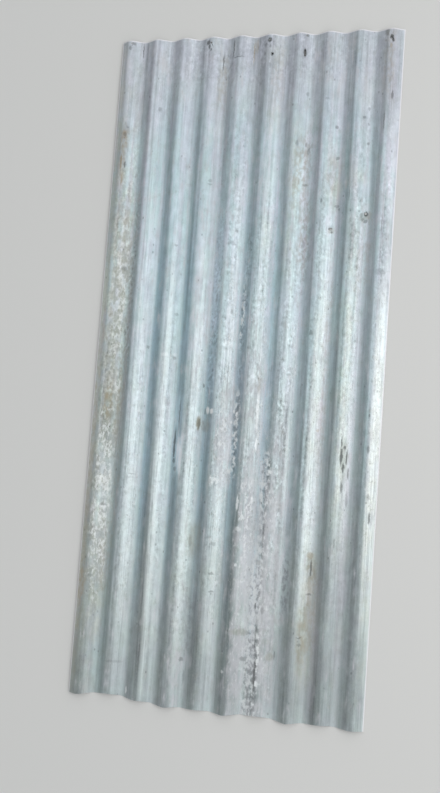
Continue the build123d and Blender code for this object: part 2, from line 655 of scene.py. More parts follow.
    def mark_up(self, mesh: bpy.types.Mesh, across: np.ndarray, down: np.ndarray) -> None:
        """Tells each face which mark of each tone touches it, for the shader to draw.

        A mark reaches as far as the end of its edge, its outline's sway and half a face. Where two
        of a tone reach a face, it takes the one whose centre is nearer, counted in half widths.

        Args:
            mesh: The sheet's mesh.
            across: Middle of each face across the sheet.
            down: Middle of each face along the sheet.
        """
        half_face_across, half_face_down = 2.4, 4.3
        sway = max(Spot.SWAY) / 2
        for tone in Tone:
            spot, grow = np.zeros((len(across), 3)), np.zeros((len(across), 3))
            nearest = np.full(len(across), np.inf)
            for mark in self.marks[tone]:
                far = np.hypot(*mark.off(across, down))
                reach_across = Spot.EDGE_END * mark.half_across + sway + half_face_across
                reach_down = Spot.EDGE_END * mark.half_down + sway + half_face_down
                taken = ((np.abs(across - mark.across) < reach_across)
                         & (np.abs(down - mark.down) < reach_down) & (far < nearest))
                nearest[taken] = far[taken]
                spot[taken] = (mark.across, mark.down, 0.0)
                grow[taken] = (1.0 / mark.half_across, 1.0 / mark.half_down, mark.strength)
            for suffix, value in (("spot", spot), ("grow", grow)):
                attribute = mesh.attributes.new(f"{tone.value}_{suffix}", "FLOAT_VECTOR", "FACE")
                attribute.data.foreach_set("vector", value.ravel().astype(np.float32))

    def build(self) -> bpy.types.Object:
        """Makes the sheet's object: three slots, and attributes for weathering and painted light.

        Returns:
            The object, at the origin.
        """
        sharp_from = math.radians(50.0)
        points, faces, slots, plan = self.shell()
        mesh = bpy.data.meshes.new("corrugated_sheet_metal")
        mesh.from_pydata(points * MM, [], faces)
        mesh.polygons.foreach_set("material_index", slots.astype(np.int32))
        place = np.stack([plan[:, 0] - self.low[0], self.high[1] - plan[:, 1]], -1)
        for wear, value in self.weathering(place[:, 0], place[:, 1]).items():
            attribute = mesh.attributes.new(wear.value, "FLOAT", "POINT")
            attribute.data.foreach_set("value", np.tile(value, 2).astype(np.float32))
        face_middle = np.tile(place, (2, 1))[faces].mean(axis=1)
        self.mark_up(mesh, face_middle[:, 0], face_middle[:, 1])
        mesh.shade_smooth()
        mesh.set_sharp_from_angle(angle=sharp_from)
        mesh.update()
        piece = bpy.data.objects.new("corrugated_sheet_metal", mesh)
        bpy.context.scene.collection.objects.link(piece)
        return piece

    def dress(self, piece: bpy.types.Object, finishes: dict[Side, bpy.types.Material]) -> None:
        """Puts the finishes in the slots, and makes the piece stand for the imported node.

        Args:
            piece: The sheet's object.
            finishes: A material for each side.
        """
        for side in Side:
            piece.data.materials.append(finishes[side])
        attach(piece, "root")
        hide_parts(NODE)


class Wire:
    """A number on its way through a shader, so that masks are written as sums and products."""

    def __init__(self, bench: Bench, socket: bpy.types.NodeSocket) -> None:
        """Wraps an output socket of one of the bench's nodes."""
        self.bench = bench
        self.socket = socket

    def __add__(self, other: Wire | float) -> Wire:
        """The sum of the two."""
        return self.bench.math("ADD", self, other)

    __radd__ = __add__

    def __sub__(self, other: Wire | float) -> Wire:
        """This less the other."""
        return self.bench.math("SUBTRACT", self, other)

    def __rsub__(self, other: float) -> Wire:
        """The other less this."""
        return self.bench.math("SUBTRACT", other, self)

    def __mul__(self, other: Wire | float) -> Wire:
        """The product of the two."""
        return self.bench.math("MULTIPLY", self, other)

    __rmul__ = __mul__

    def __truediv__(self, other: Wire | float) -> Wire:
        """This over the other."""
        return self.bench.math("DIVIDE", self, other)

    def __rtruediv__(self, other: float) -> Wire:
        """The other over this."""
        return self.bench.math("DIVIDE", other, self)

    def __abs__(self) -> Wire:
        """Its size without its sign."""
        return self.bench.math("ABSOLUTE", self)

    def over(self, other: Wire | float) -> Wire:
        """The larger of the two."""
        return self.bench.math("MAXIMUM", self, other)

    def swing(self, reach: float) -> Wire:
        """A noise made to swing about 0, and scaled: from -reach / 2 to reach / 2."""
        return (self - 0.5) * reach

    def step(self, low: float, high: float) -> Wire:
        """Rises smoothly from 0 at low to 1 at high, or falls where low is more than high.

        Args:
            low: Where it is 0.
            high: Where it is 1.

        Returns:
            The step.
        """
        limits = {"From Min": low, "From Max": high, "Value": self}
        settings = {"interpolation_type": "SMOOTHSTEP"}
        return Wire(self.bench, self.bench.node("ShaderNodeMapRange", settings, limits).outputs[0])


class Bench:
    """A node tree and what is needed to fill it: nodes, sums and blends."""

    def __init__(self, owner: bpy.types.Material | bpy.types.World) -> None:
        """Takes a node tree and empties it.

        Args:
            owner: The material or the world that it belongs to.
        """
        owner.use_nodes = True
        self.tree = owner.node_tree
        self.tree.nodes.clear()

    def node(self, kind: str, settings: dict[str, Any] | None = None,
             inputs: dict[str | int, Any] | None = None) -> bpy.types.Node:
        """Adds a node.

        Args:
            kind: The node's type.
            settings: Its properties, set first.
            inputs: For its sockets, a wire, a socket, a number or a colour each.

        Returns:
            The node.
        """
        made = self.tree.nodes.new(kind)
        for name, value in (settings or {}).items():
            setattr(made, name, value)
        for key, value in (inputs or {}).items():
            if isinstance(value, Wire):
                self.tree.links.new(value.socket, made.inputs[key])
            elif isinstance(value, bpy.types.NodeSocket):
                self.tree.links.new(value, made.inputs[key])
            elif isinstance(value, tuple):
                made.inputs[key].default_value = (*value, 1.0)
            else:
                made.inputs[key].default_value = value
        return made

    def math(self, operation: str, *values: Wire | float) -> Wire:
        """Adds a Math node and returns what it works out."""
        made = self.node("ShaderNodeMath", {"operation": operation}, dict(enumerate(values)))
        return Wire(self, made.outputs[0])

    def blend(self, below: Any, above: Any, share: Wire, kind: str = "MIX") -> bpy.types.NodeSocket:
        """Lays one colour over another.

        Args:
            below: Colour or socket that shows where the share is 0.
            above: Colour or socket that shows where it is 1.
            share: How much of the upper colour shows.
            kind: How the upper colour acts on the lower one.

        Returns:
            The blended colour's socket.
        """
        settings = {"data_type": "RGBA", "blend_type": kind}
        inputs = {MIX_SHARE: share, MIX_BELOW: below, MIX_ABOVE: above}
        return self.node("ShaderNodeMix", settings, inputs).outputs[MIX_RESULT]


class SheetBench(Bench):
    """A material's node tree, with its places in millimetres on the sheet and the colour so far."""

    def __init__(self, name: str, ground: Colour) -> None:
        """Starts a material.

        Args:
            name: Name of the material.
            ground: The colour that the others are laid over.
        """
        self.material = bpy.data.materials.new(name)
        super().__init__(self.material)
        self.colour: Any = ground
        place = self.node("ShaderNodeTexCoord").outputs["Object"]
        self.parts = self.node("ShaderNodeSeparateXYZ", None, {"Vector": place})
        self.across = Wire(self, self.parts.outputs["X"]) / MM + SHEET_WIDTH / 2
        self.down = SHEET_LENGTH / 2 - Wire(self, self.parts.outputs["Y"]) / MM

    @property
    def height(self) -> Wire:
        """Height over the floor, in millimetres."""
        return Wire(self, self.parts.outputs["Z"]) / MM

    def lay(self, above: Colour | bpy.types.NodeSocket, share: Wire) -> None:
        """Lays a colour over the colour so far, as much of it as the share says."""
        self.colour = self.blend(self.colour, above, share)

    def glaze(self, tint: Colour, share: Wire) -> None:
        """Lays a clear film over the colour so far, which lets that much of each primary pass."""
        self.colour = self.blend(self.colour, tint, share, "MULTIPLY")

    def scaled(self, colour: Colour | bpy.types.NodeSocket, factor: Wire) -> bpy.types.NodeSocket:
        """Makes a colour brighter or darker.

        Args:
            colour: The colour, or its socket.
            factor: What it is multiplied by.

        Returns:
            The new colour's socket.
        """
        made = self.node("ShaderNodeVectorMath", {"operation": "SCALE"}, {"Scale": factor})
        if isinstance(colour, tuple):
            made.inputs[0].default_value = colour
        else:
            self.tree.links.new(colour, made.inputs[0])
        return made.outputs[0]

    def attribute(self, name: str, output: str = "Fac") -> Any:
        """An output of the mesh's attribute of that name."""
        return self.node("ShaderNodeAttribute", {"attribute_name": name}).outputs[output]

    def worn(self, wear: Wear) -> Wire:
        """The mesh's value for one of the kinds of weathering and painted light."""
        return Wire(self, self.attribute(wear.value))

    def spot_of(self, size_across: float, size_down: float, seed: float) -> bpy.types.NodeSocket:
        """A vector that grows by 1 over each size, in a slice of noise of its own.

        Args:
            size_across: Size of the pattern across the sheet, in millimetres.
            size_down: Size of the pattern along the sheet, in millimetres.
            seed: Number of the slice.

        Returns:
            The vector's socket.
        """
        inputs = {"X": self.across / size_across, "Y": self.down / size_down, "Z": seed}
        return self.node("ShaderNodeCombineXYZ", None, inputs).outputs[0]

    def grain(self, size_across: float, size_down: float, seed: float, detail: float = 2.0) -> Wire:
        """Soft noise of that size, which stays about 0.5.

        Args:
            size_across: Size of a grain across the sheet, in millimetres.
            size_down: Size of a grain along the sheet, in millimetres.
            seed: Number that sets it apart from other grain.
            detail: How many finer layers it has.

        Returns:
            The noise, from 0 to 1.
        """
        inputs = {"Vector": self.spot_of(size_across, size_down, seed), "Scale": 1.0,
                  "Detail": detail, "Roughness": 0.58}
        return Wire(self, self.node("ShaderNodeTexNoise", None, inputs).outputs[0])

    def pebbles(self, size_across: float, size_down: float, seed: float) -> tuple[Wire, Wire]:
        """Scattered round grains.

        Args:
            size_across: Distance between grains across the sheet, in millimetres.
            size_down: Distance between grains along the sheet, in millimetres.
            seed: Number that sets them apart from others.

        Returns:
            The distance from the nearest grain's centre, and a number that each grain draws.
        """
        inputs = {"Vector": self.spot_of(size_across, size_down, seed), "Scale": 1.0,
                  "Randomness": 0.9}
        made = self.node("ShaderNodeTexVoronoi", None, inputs)
        drawn = self.node("ShaderNodeSeparateXYZ", None, {"Vector": made.outputs["Color"]})
        return Wire(self, made.outputs["Distance"]), Wire(self, drawn.outputs["X"])

    def beat(self, shift: float) -> Wire:
        """A cosine in step with the crests: 1 that far right of each crest line, -1 midway."""
        rate = 2.0 * math.pi / RolledSection.pitch
        return self.math("COSINE", (self.across - RolledSection.first_crest - shift) * rate)

    def wobbled(self) -> bpy.types.NodeSocket:
        """The place on the sheet, moved by a noise of a few millimetres.

        Returns:
            The vector's socket.
        """
        sway_across, sway_down = Spot.SWAY
        inputs = {"X": self.across + self.grain(5.0, 9.0, seed=41.0).swing(sway_across),
                  "Y": self.down + self.grain(5.0, 9.0, seed=42.0).swing(sway_down)}
        return self.node("ShaderNodeCombineXYZ", None, inputs).outputs[0]

    def marks(self, tone: Tone, place: bpy.types.NodeSocket) -> Wire:
        """Draws the marks of one tone as ellipses with wavy edges.

        A mark is 1 inside and falls to 0 near where sqrt(a² + b²) is 1, with a and b the distances
        from its centre in half widths. Its centre and sizes come from the face.

        Args:
            tone: The tone.
            place: The wobbled place on the sheet.

        Returns:
            How much of the mark shows at each place.
        """
        centre = self.attribute(f"{tone.value}_spot", "Vector")
        grow = self.attribute(f"{tone.value}_grow", "Vector")
        off = self.node("ShaderNodeVectorMath", {"operation": "SUBTRACT"}, {0: place, 1: centre})
        near = self.node("ShaderNodeVectorMath", {"operation": "MULTIPLY"},
                         {0: off.outputs[0], 1: grow})
        far = self.node("ShaderNodeVectorMath", {"operation": "LENGTH"}, {0: near.outputs[0]})
        strength = self.node("ShaderNodeSeparateXYZ", None, {0: grow}).outputs["Z"]
        shown = Wire(self, far.outputs["Value"]).step(Spot.EDGE_END, Spot.EDGE_START)
        return shown * Wire(self, strength)

    def surface(self, roughness: Wire | float, metallic: Wire | float,
                relief: Wire) -> bpy.types.Material:
        """Ends the material in one shader of the colour so far, with the relief as its bump.

        Args:
            roughness: How dull the surface is.
            metallic: How much of it is bare metal.
            relief: Height of the fine relief, in millimetres.

        Returns:
            The material.
        """
        bump = self.node("ShaderNodeBump", None,
                         {"Height": relief, "Distance": MM, "Strength": 1.0})
        inputs = {"Base Color": self.colour, "Roughness": roughness, "Metallic": metallic,
                  "Normal": bump.outputs[0]}
        shader = self.node("ShaderNodeBsdfPrincipled", None, inputs)
        self.node("ShaderNodeOutputMaterial", None, {"Surface": shader.outputs[0]})
        return self.material


class ZincBench(SheetBench):
    """The weather side's bench, with the noises and streaks that several of its layers share.

    `broad` is as wide as a hand, `bands` and `streaks` run along the sheet, `mottle`, `soil`,
    `cluster` and `cast` are as large as coins, and `fine` is the smallest grain.
    `pale_streak_and_sheen` and
    `dark_streak_and_shade` are streaks painted brighter and darker: partly zinc, partly painted
    light and shade.
    """

    def __init__(self, ground: Colour) -> None:
        """Starts the material and adds the shared values.

        Args:
            ground: The colour that the others are laid over.
        """
        super().__init__("weathered_zinc", ground)
        self.broad = self.grain(60.0, 210.0, seed=1.0, detail=3.0)
        self.bands = self.grain(12.0, 900.0, seed=2.0).step(0.36, 0.64)
        self.streaks = self.grain(2.4, 95.0, seed=3.0, detail=3.0)
        self.mottle = self.grain(13.0, 26.0, seed=4.0, detail=4.0)
        self.fine = self.grain(1.8, 4.5, seed=5.0)
        self.soil = self.grain(7.0, 15.0, seed=8.0, detail=4.0)
        self.cluster = self.grain(15.0, 38.0, seed=19.0, detail=3.0).step(0.36, 0.64)
        self.cast = self.grain(36.0, 90.0, seed=27.0, detail=3.0)
        # Streaks painted brighter and darker: partly zinc, partly painted highlight and painted
        # shade
        self.pale_streak_and_sheen = self.worn(Wear.PALE_STREAK_AND_SHEEN) * (0.5 + self.mottle)
        self.dark_streak_and_shade = self.worn(Wear.DARK_STREAK_AND_SHADE) * (0.5 + self.mottle)


@dataclass(frozen=True)
class WeatheredZinc:
    """Finish of the weather side: dull zinc, white rust, oxide film, earth and small marks,
    with painted light and shade on the corrugations.

    Attributes:
        blue: Zinc near the head, a little blue.
        lilac: Zinc with a thin lilac film.
        violet: Zinc at the head, with more lilac.
        foot_grey_and_shade: Zinc near the foot, greyer and darker: partly painted shade where the
            light falls off.
        painted_flank_shade: Painted shade on the left-facing flanks below the head: darker zinc, a
            little green.
        cream: Tint of a thin yellow film.
        rose: Tint of a thin pink film.
        blush: Tint of a thicker one.
        sage: Tint of a thin green film.
        aqua: Tint of a thin blue-green film.
        painted_highlight: Painted highlight: pale streaks along the rolling direction, on the
            crests' lit side.
        film: Pale oxide film, a little pink.
        oxide: White rust.
        chalk: The whitest clots of it.
        earth: Dried soil and rust water.
        olive: Grey-green growth.
        grime: Grey dirt with a little purple.
        pit_dirt_and_hole_shade: Dark dirt in pits and round holes; round the nail holes, partly
            painted shade.
        rim: Painted highlight along the edges, pale zinc where the cut edge catches the light.
    """

    blue: Colour = (0.50, 0.60, 0.635)
    lilac: Colour = (0.53, 0.58, 0.63)
    violet: Colour = (0.535, 0.560, 0.610)
    foot_grey_and_shade: Colour = (0.41, 0.46, 0.465)
    painted_flank_shade: Colour = (0.405, 0.52, 0.58)
    cream: Colour = (1.04, 0.98, 0.88)
    rose: Colour = (1.012, 0.985, 1.005)
    blush: Colour = (1.04, 0.965, 0.99)
    sage: Colour = (0.99, 1.005, 0.985)
    aqua: Colour = (0.925, 1.0, 1.0)
    painted_highlight: Colour = (0.755, 0.82, 0.815)
    film: Colour = (0.545, 0.535, 0.56)
    oxide: Colour = (0.84, 0.86, 0.86)
    chalk: Colour = (0.94, 0.95, 0.95)
    earth: Colour = (0.34, 0.27, 0.18)
    olive: Colour = (0.25, 0.26, 0.20)
    grime: Colour = (0.24, 0.24, 0.27)
    pit_dirt_and_hole_shade: Colour = (0.06, 0.065, 0.065)
    rim: Colour = (0.80, 0.77, 0.79)

    def zinc(self, bench: ZincBench) -> None:
        """Colours the zinc: lilac in places, violet at the head, greyer at the foot with some
        painted shade, and painted shade, darker and a little green, on the left-facing flanks.

        Args:
            bench: The bench.
        """
        tint = bench.grain(19.0, 420.0, seed=6.0) + bench.mottle.swing(0.35)
        bench.lay(self.lilac, tint.step(0.44, 0.58))
        bench.lay(self.violet, (bench.down + bench.broad.swing(200.0)).step(330.0, 60.0) * 0.85)
        # Greyer and darker towards the foot: partly painted shade for the light falling off there
        bench.lay(self.foot_grey_and_shade, (bench.down + bench.broad.swing(800.0)).step(250.0, 1450.0))
        # Painted shade: the left-facing flanks below the head are laid darker and a little green
        left_flanks = bench.beat(-16.0).step(0.2, 0.9) * bench.down.step(280.0, 620.0)
        left_flanks = left_flanks * bench.down.step(1500.0, 950.0) * bench.across.step(60.0, 140.0)
        bench.lay(self.painted_flank_shade, left_flanks * (0.35 + bench.broad) * bench.across.step(560.0, 330.0))
        hue = bench.grain(30.0, 75.0, seed=26.0, detail=3.0)
        bench.glaze(self.rose, hue.step(0.47, 0.62))
        bench.glaze(self.sage, hue.step(0.50, 0.36))
        bench.glaze(self.aqua, bench.worn(Wear.AQUA) * (0.6 + bench.cast * 0.8))
        bench.glaze(self.blush, bench.worn(Wear.ROSE) * (0.4 + bench.mottle * 1.2))

    def shade(self, bench: ZincBench) -> None:
        """Brightens and darkens the zinc: grain, speckle, and painted light and shade.

        Args:
            bench: The bench.
        """
        # Painted light: the valleys are lifted out of their shade, and the lower left-facing flanks
        # take painted light as if bounced off the lit flank beside them
        painted_valley_light = bench.height.step(4.2, 0.4) * bench.down.step(40.0, 330.0)
        painted_bounce_light = bench.beat(-27.0).step(0.3, 1.0) * bench.down.step(120.0, 900.0)
        painted_bounce_core = bench.beat(-27.0).step(0.75, 1.0) * bench.down.step(200.0, 450.0)
        # Painted highlight along each crest
        painted_crest_highlight = bench.beat(-1.5).step(0.80, 1.0) * bench.down.step(1250.0, 500.0)
        # Painted shade: how much darker the lit shoulder just right of each crest is painted, to
        # tone its highlight down
        worn = 0.05 + bench.down.step(250.0, 450.0) * 0.05 + bench.down.step(850.0, 1350.0) * 0.11
        # Painted shade on the left shoulder of each crest
        painted_shoulder_shade = bench.beat(-8.5).step(0.85, 1.0) * 0.05
        speckle = bench.grain(6.0, 10.0, seed=25.0, detail=5.0).swing(1.3)
        speckle = speckle * bench.worn(Wear.SPECKLE) * (0.35 + bench.cluster * 1.3)
        # Grain and speckle, the painted light and shade above, and the painted streaks of light and
        # shade
        light = (0.93 + bench.broad.swing(0.36) + bench.bands.swing(0.16)
                 + bench.streaks.swing(0.44) + bench.mottle.swing(0.46) + bench.fine.swing(0.28)
                 + painted_valley_light * 0.20 + painted_bounce_light * 0.30 + painted_bounce_core * 0.10 + painted_crest_highlight * 0.12
                 - bench.beat(5.0).step(0.6, 1.0) * worn - painted_shoulder_shade + speckle
                 + bench.pale_streak_and_sheen * 0.30 - bench.dark_streak_and_shade * 0.26)
        bench.colour = bench.scaled(bench.colour, light)

    def films(self, bench: ZincBench) -> Wire:
        """Lays a painted highlight in pale streaks, then the thin films: a yellow cast, and the
        oxide of the run-off band.

        Args:
            bench: The bench.

        Returns:
            How thick the oxide film is.
        """
        # Painted highlight: pale streaks on the lit side of the crests
        painted_highlight = bench.worn(Wear.BLOOM) * (bench.bands * 0.25 + bench.streaks).step(0.36, 0.74)
        bench.lay(self.painted_highlight, painted_highlight * 0.52)
        cream = bench.worn(Wear.CREAM) * (0.35 + bench.cluster * 1.1)
        bench.glaze(self.cream, bench.cast.step(0.50, 0.36) * 0.15 + cream)
        veil = bench.grain(14.0, 40.0, seed=7.0, detail=4.0).swing(1.6)
        veil = veil + bench.grain(4.5, 80.0, seed=17.0).swing(0.9)
        film = (bench.worn(Wear.PALE_FILM) * 0.48 + veil).step(0.05, 0.55)
        # The oxide film takes the same streaks of painted light and shade
        streaked_film = bench.scaled(self.film, 1.0 + bench.pale_streak_and_sheen * 0.19 - bench.dark_streak_and_shade * 0.13)
        bench.lay(streaked_film, film * 0.66)
        return film

    def dirt(self, bench: ZincBench) -> Wire:
        """Lays smudges, grime, growth and dried earth.

        Args:
            bench: The bench.

        Returns:
            How much growth or earth there is.
        """
        smudge = bench.grain(17.0, 30.0, seed=18.0, detail=3.0).step(0.52, 0.66)
        bench.lay(self.olive, smudge * bench.soil.step(0.38, 0.58) * 0.16)
        bench.lay(self.grime, bench.worn(Wear.GRIME) * (0.25 + bench.soil.step(0.44, 0.60)) * 0.42)
        olive = bench.worn(Wear.OLIVE) * (0.2 + bench.mottle.step(0.44, 0.58))
        bench.lay(self.olive, olive * 0.5)
        earth = bench.worn(Wear.EARTH) * (0.3 + bench.soil.step(0.42, 0.60))
        bench.lay(self.earth, earth * 0.52)
        return olive.over(earth)

    def oxides(self, bench: ZincBench) -> tuple[Wire, Wire]:
        """Lays white rust with its eaten specks, and the thick crust with dark moats between lumps.

        Args:
            bench: The bench.

        Returns:
            How much white rust or crust there is, and its relief in millimetres.
        """
        rust = bench.worn(Wear.WHITE_RUST) * (0.45 + 0.7 * bench.cluster)
        clot = bench.grain(5.2, 10.5, seed=9.0, detail=5.0)
        white = (clot + rust * 0.17).step(0.58, 0.74) * (rust * 0.9 + 0.1)
        bench.lay(self.oxide, white * 0.60)
        speck = bench.grain(3.4, 6.5, seed=10.0, detail=3.0)
        eaten = (speck + rust * 0.05).step(0.60, 0.70) * (rust * 0.75 + 0.22)
        bench.lay(self.olive, eaten * 0.5)
        crust = bench.worn(Wear.CRUST)
        lump = bench.grain(8.5, 13.0, seed=12.0, detail=5.0)
        lumps = lump.step(0.49, 0.60) * crust.step(0.1, 0.7)
        moat = lump.step(0.52, 0.38) * crust.step(0.2, 0.8)
        bench.lay(self.pit_dirt_and_hole_shade, moat * 0.42)
        bench.lay(self.oxide, lumps * 0.75)
        return white.over(lumps), lump * crust * 0.8 + clot * rust * 0.5

    def spatter(self, bench: ZincBench) -> None:
        """Lays the scattered pits and the small marks, the palest of them last.

        Args:
            bench: The bench.
        """
        gap, drawn = bench.pebbles(9.0, 15.0, seed=13.0)
        pits = gap.step(0.26, 0.10) * drawn.step(0.86, 0.95)
        place = bench.wobbled()
        # Dark marks round the nail holes are partly painted shade, so that the holes read dark
        dark = (pits * 0.5).over(bench.marks(Tone.DARK, place))
        bench.lay(self.olive, bench.marks(Tone.OLIVE, place) * 0.75)
        bench.lay(self.earth, bench.marks(Tone.BROWN, place) * 0.8)
        bench.lay(self.pit_dirt_and_hole_shade, dark * 0.85)
        bench.lay(self.chalk, bench.marks(Tone.WHITE, place) * 0.9)

    def material(self) -> bpy.types.Material:
        """Builds the material: the weathering in the order that the weather laid it, with the
        painted light and shade among it.

        Returns:
            The material for the sheet's weather side.
        """
        bench = ZincBench(self.blue)
        self.zinc(bench)
        self.shade(bench)
        film = self.films(bench)
        dirt = self.dirt(bench)
        oxide, oxide_relief = self.oxides(bench)
        self.spatter(bench)
        # Painted highlight: a pale band along the side edges and the head, where the cut edge
        # catches the light
        side = (SHEET_WIDTH / 2 - abs(bench.across - SHEET_WIDTH / 2)).step(3.0, 1.0)
        edge = side.over(bench.down.step(3.2, 0.8))
        bench.lay(self.rim, edge * 0.8)
        dull = oxide.over(film).over(dirt)
        roughness = 0.48 + bench.fine.swing(0.2) + dull * 0.3
        metallic = 0.42 * (1.0 - dull.over(edge))
        return bench.surface(roughness, metallic,
                             bench.bands * 0.22 + bench.mottle * 0.30 + oxide_relief)


@dataclass(frozen=True)
class UndersideZinc:
    """Finish of the underside: duller and more even, because no rain has reached it.

    Attributes:
        zinc: The metal.
        dust: Pale dust where it lay on its bearers.
    """

    zinc: Colour = (0.40, 0.44, 0.46)
    dust: Colour = (0.52, 0.50, 0.46)

    def material(self) -> bpy.types.Material:
        """Builds the material for the sheet's underside.

        Returns:
            The material.
        """
        bench = SheetBench("underside_zinc", self.zinc)
        broad = bench.grain(60.0, 180.0, seed=21.0, detail=3.0)
        streaks = bench.grain(3.0, 90.0, seed=22.0, detail=3.0)
        fine = bench.grain(2.0, 4.0, seed=23.0)
        bench.lay(self.dust, (broad * 0.6 + fine * 0.4).step(0.5, 0.62) * 0.5)
        light = 1.0 + broad.swing(0.3) + streaks.swing(0.2) + fine.swing(0.14)
        bench.colour = bench.scaled(bench.colour, light)
        return bench.surface(0.5 + fine.swing(0.2), 0.5, streaks * 0.04 + fine * 0.05)


@dataclass(frozen=True)
class CutEdge:
    """Finish of the cut edges: zinc wiped over bare steel, with rust in spots.

    Attributes:
        bright: The wiped zinc.
        rust: Rust on the bare steel.
    """

    bright: Colour = (0.62, 0.60, 0.60)
    rust: Colour = (0.25, 0.15, 0.09)

    def material(self) -> bpy.types.Material:
        """Builds the material for the sheet's cut edges.

        Returns:
            The material.
        """
        bench = SheetBench("cut_edge", self.bright)
        rusty = bench.grain(6.0, 6.0, seed=31.0, detail=3.0)
        bench.lay(self.rust, rusty.step(0.56, 0.68) * 0.6)
        return bench.surface(0.55, 0.3, rusty * 0.05)


@dataclass(frozen=True)
class Studio:
    """A plain pale floor under a soft sky, brighter towards the sheet's right side and its head.

    Attributes:
        floor_half: Half the floor's side, in metres.
        floor_lines: Lines of its grid each way.
        floor_gap: Gap between it and the sheet, in millimetres.
        floor_colour: The floor's colour.
        floor_roughness: How dull it is.
        sky: The sky's colour.
        sky_left: The sky's strength at the left.
        sky_right: Its strength overhead and at the right.
        sky_turn: Where it changes from one to the other, as X + sky_along Y of a direction of
            length 1.
        sky_along: How much the direction along the sheet counts in that.
        key_lean: Lean of the key light towards the sheet's right side, in degrees from overhead.
        key_along: How far the key stands towards the head, in metres.
        key_distance: Distance of the key from the sheet, in metres.
        key_size: Width and length of the key, in metres.
        key_power: Power of the key, in watts.
    """

    floor_half: float = 9.0
    floor_lines: int = 13
    floor_gap: float = 0.05
    floor_colour: Colour = (0.68, 0.665, 0.645)
    floor_roughness: float = 0.9
    sky: Colour = (0.94, 0.98, 1.0)
    sky_left: float = 0.27
    sky_right: float = 1.0
    sky_turn: tuple[float, float] = (-0.85, 0.35)
    sky_along: float = 0.6
    key_lean: float = 48.0
    key_along: float = 0.2
    key_distance: float = 3.6
    key_size: tuple[float, float] = (1.8, 2.4)
    key_power: float = 38.0

    def floor(self) -> bpy.types.Object:
        """Lays the floor just under the sheet, as a grid of faces.

        Returns:
            The floor, marked as no part of the object.
        """
        line = np.linspace(-self.floor_half, self.floor_half, self.floor_lines)
        x, y = (a.ravel() for a in np.meshgrid(line, line))
        index = np.arange(x.size).reshape(len(line), len(line))
        quads = np.stack([index[:-1, :-1], index[:-1, 1:], index[1:, 1:], index[1:, :-1]], -1)
        mesh = bpy.data.meshes.new("floor")
        points = np.stack([x, y, np.full_like(x, -self.floor_gap * MM)], -1)
        mesh.from_pydata(points, [], quads.reshape(-1, 4))
        floor = bpy.data.objects.new("floor", mesh)
        bpy.context.scene.collection.objects.link(floor)
        material = bpy.data.materials.new("pale_floor")
        material.use_nodes = True
        shader = material.node_tree.nodes["Principled BSDF"]
        shader.inputs["Base Color"].default_value = (*self.floor_colour, 1.0)
        shader.inputs["Roughness"].default_value = self.floor_roughness
        mesh.materials.append(material)
        floor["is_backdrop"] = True
        return floor

    def sky_light(self) -> bpy.types.World:
        """Sets the sky: its strength rises smoothly with X + sky_along Y of the direction.

        Returns:
            The world.
        """
        world = bpy.data.worlds.new("sky")
        bpy.context.scene.world = world
        bench = Bench(world)
        heading = bench.node("ShaderNodeTexCoord").outputs["Generated"]
        parts = bench.node("ShaderNodeSeparateXYZ", None, {"Vector": heading})
        facing = Wire(bench, parts.outputs["X"]) + Wire(bench, parts.outputs["Y"]) * self.sky_along
        strength = self.sky_left + facing.step(*self.sky_turn) * (self.sky_right - self.sky_left)
        glow = bench.node("ShaderNodeBackground", None, {"Color": self.sky, "Strength": strength})
        bench.node("ShaderNodeOutputWorld", None, {"Surface": glow.outputs[0]})
        return world

    def key_light(self) -> bpy.types.Object:
        """Hangs the key light, turned towards the sheet's middle.

        Returns:
            The light.
        """
        lean = math.radians(self.key_lean)
        lamp = bpy.data.lights.new("key", "AREA")
        lamp.shape = "RECTANGLE"
        lamp.size, lamp.size_y = self.key_size
        lamp.energy = self.key_power
        key = bpy.data.objects.new("key", lamp)
        key.location = (math.sin(lean) * self.key_distance, self.key_along,
                        math.cos(lean) * self.key_distance)
        key.rotation_mode = "QUATERNION"
        key.rotation_quaternion = key.location.to_track_quat("Z", "Y")
        bpy.context.scene.collection.objects.link(key)
        return key


@dataclass(frozen=True)
class Viewpoint:
    """The place that the sheet is looked at from, in the sheet's frame, in metres.

    Attributes:
        place: The eye.
        aim: The point of the floor at the middle of the picture.
        turn: How far the picture is turned anticlockwise from the corrugations, in degrees.
        focal: Focal length in pixels of the picture.
        long_side: Height of the picture in pixels.
        sensor: Length of the sensor's long side in millimetres.
    """

    place: tuple[float, float, float] = (0.4319, -0.2073, 1.8436)
    aim: tuple[float, float, float] = (-0.0298, -0.0716, 0.0)
    turn: float = 4.36
    focal: float = 850.0
    long_side: float = 793.0
    sensor: float = 36.0

    def camera(self) -> bpy.types.Object:
        """Makes the scene's camera, with its X to the right and its Y up in the picture.

        Returns:
            The camera.
        """
        data = bpy.data.cameras.new("camera")
        data.sensor_width = self.sensor
        data.lens = self.focal / self.long_side * self.sensor
        turn = math.radians(self.turn)
        back = (Vector(self.place) - Vector(self.aim)).normalized()
        right = Vector((-math.sin(turn), math.cos(turn), 0.0)).cross(back).normalized()
        up = back.cross(right)
        camera = bpy.data.objects.new("camera", data)
        axes = Matrix((right, up, back)).transposed().to_4x4()
        camera.matrix_world = Matrix.Translation(self.place) @ axes
        bpy.context.scene.collection.objects.link(camera)
        bpy.context.scene.camera = camera
        return camera


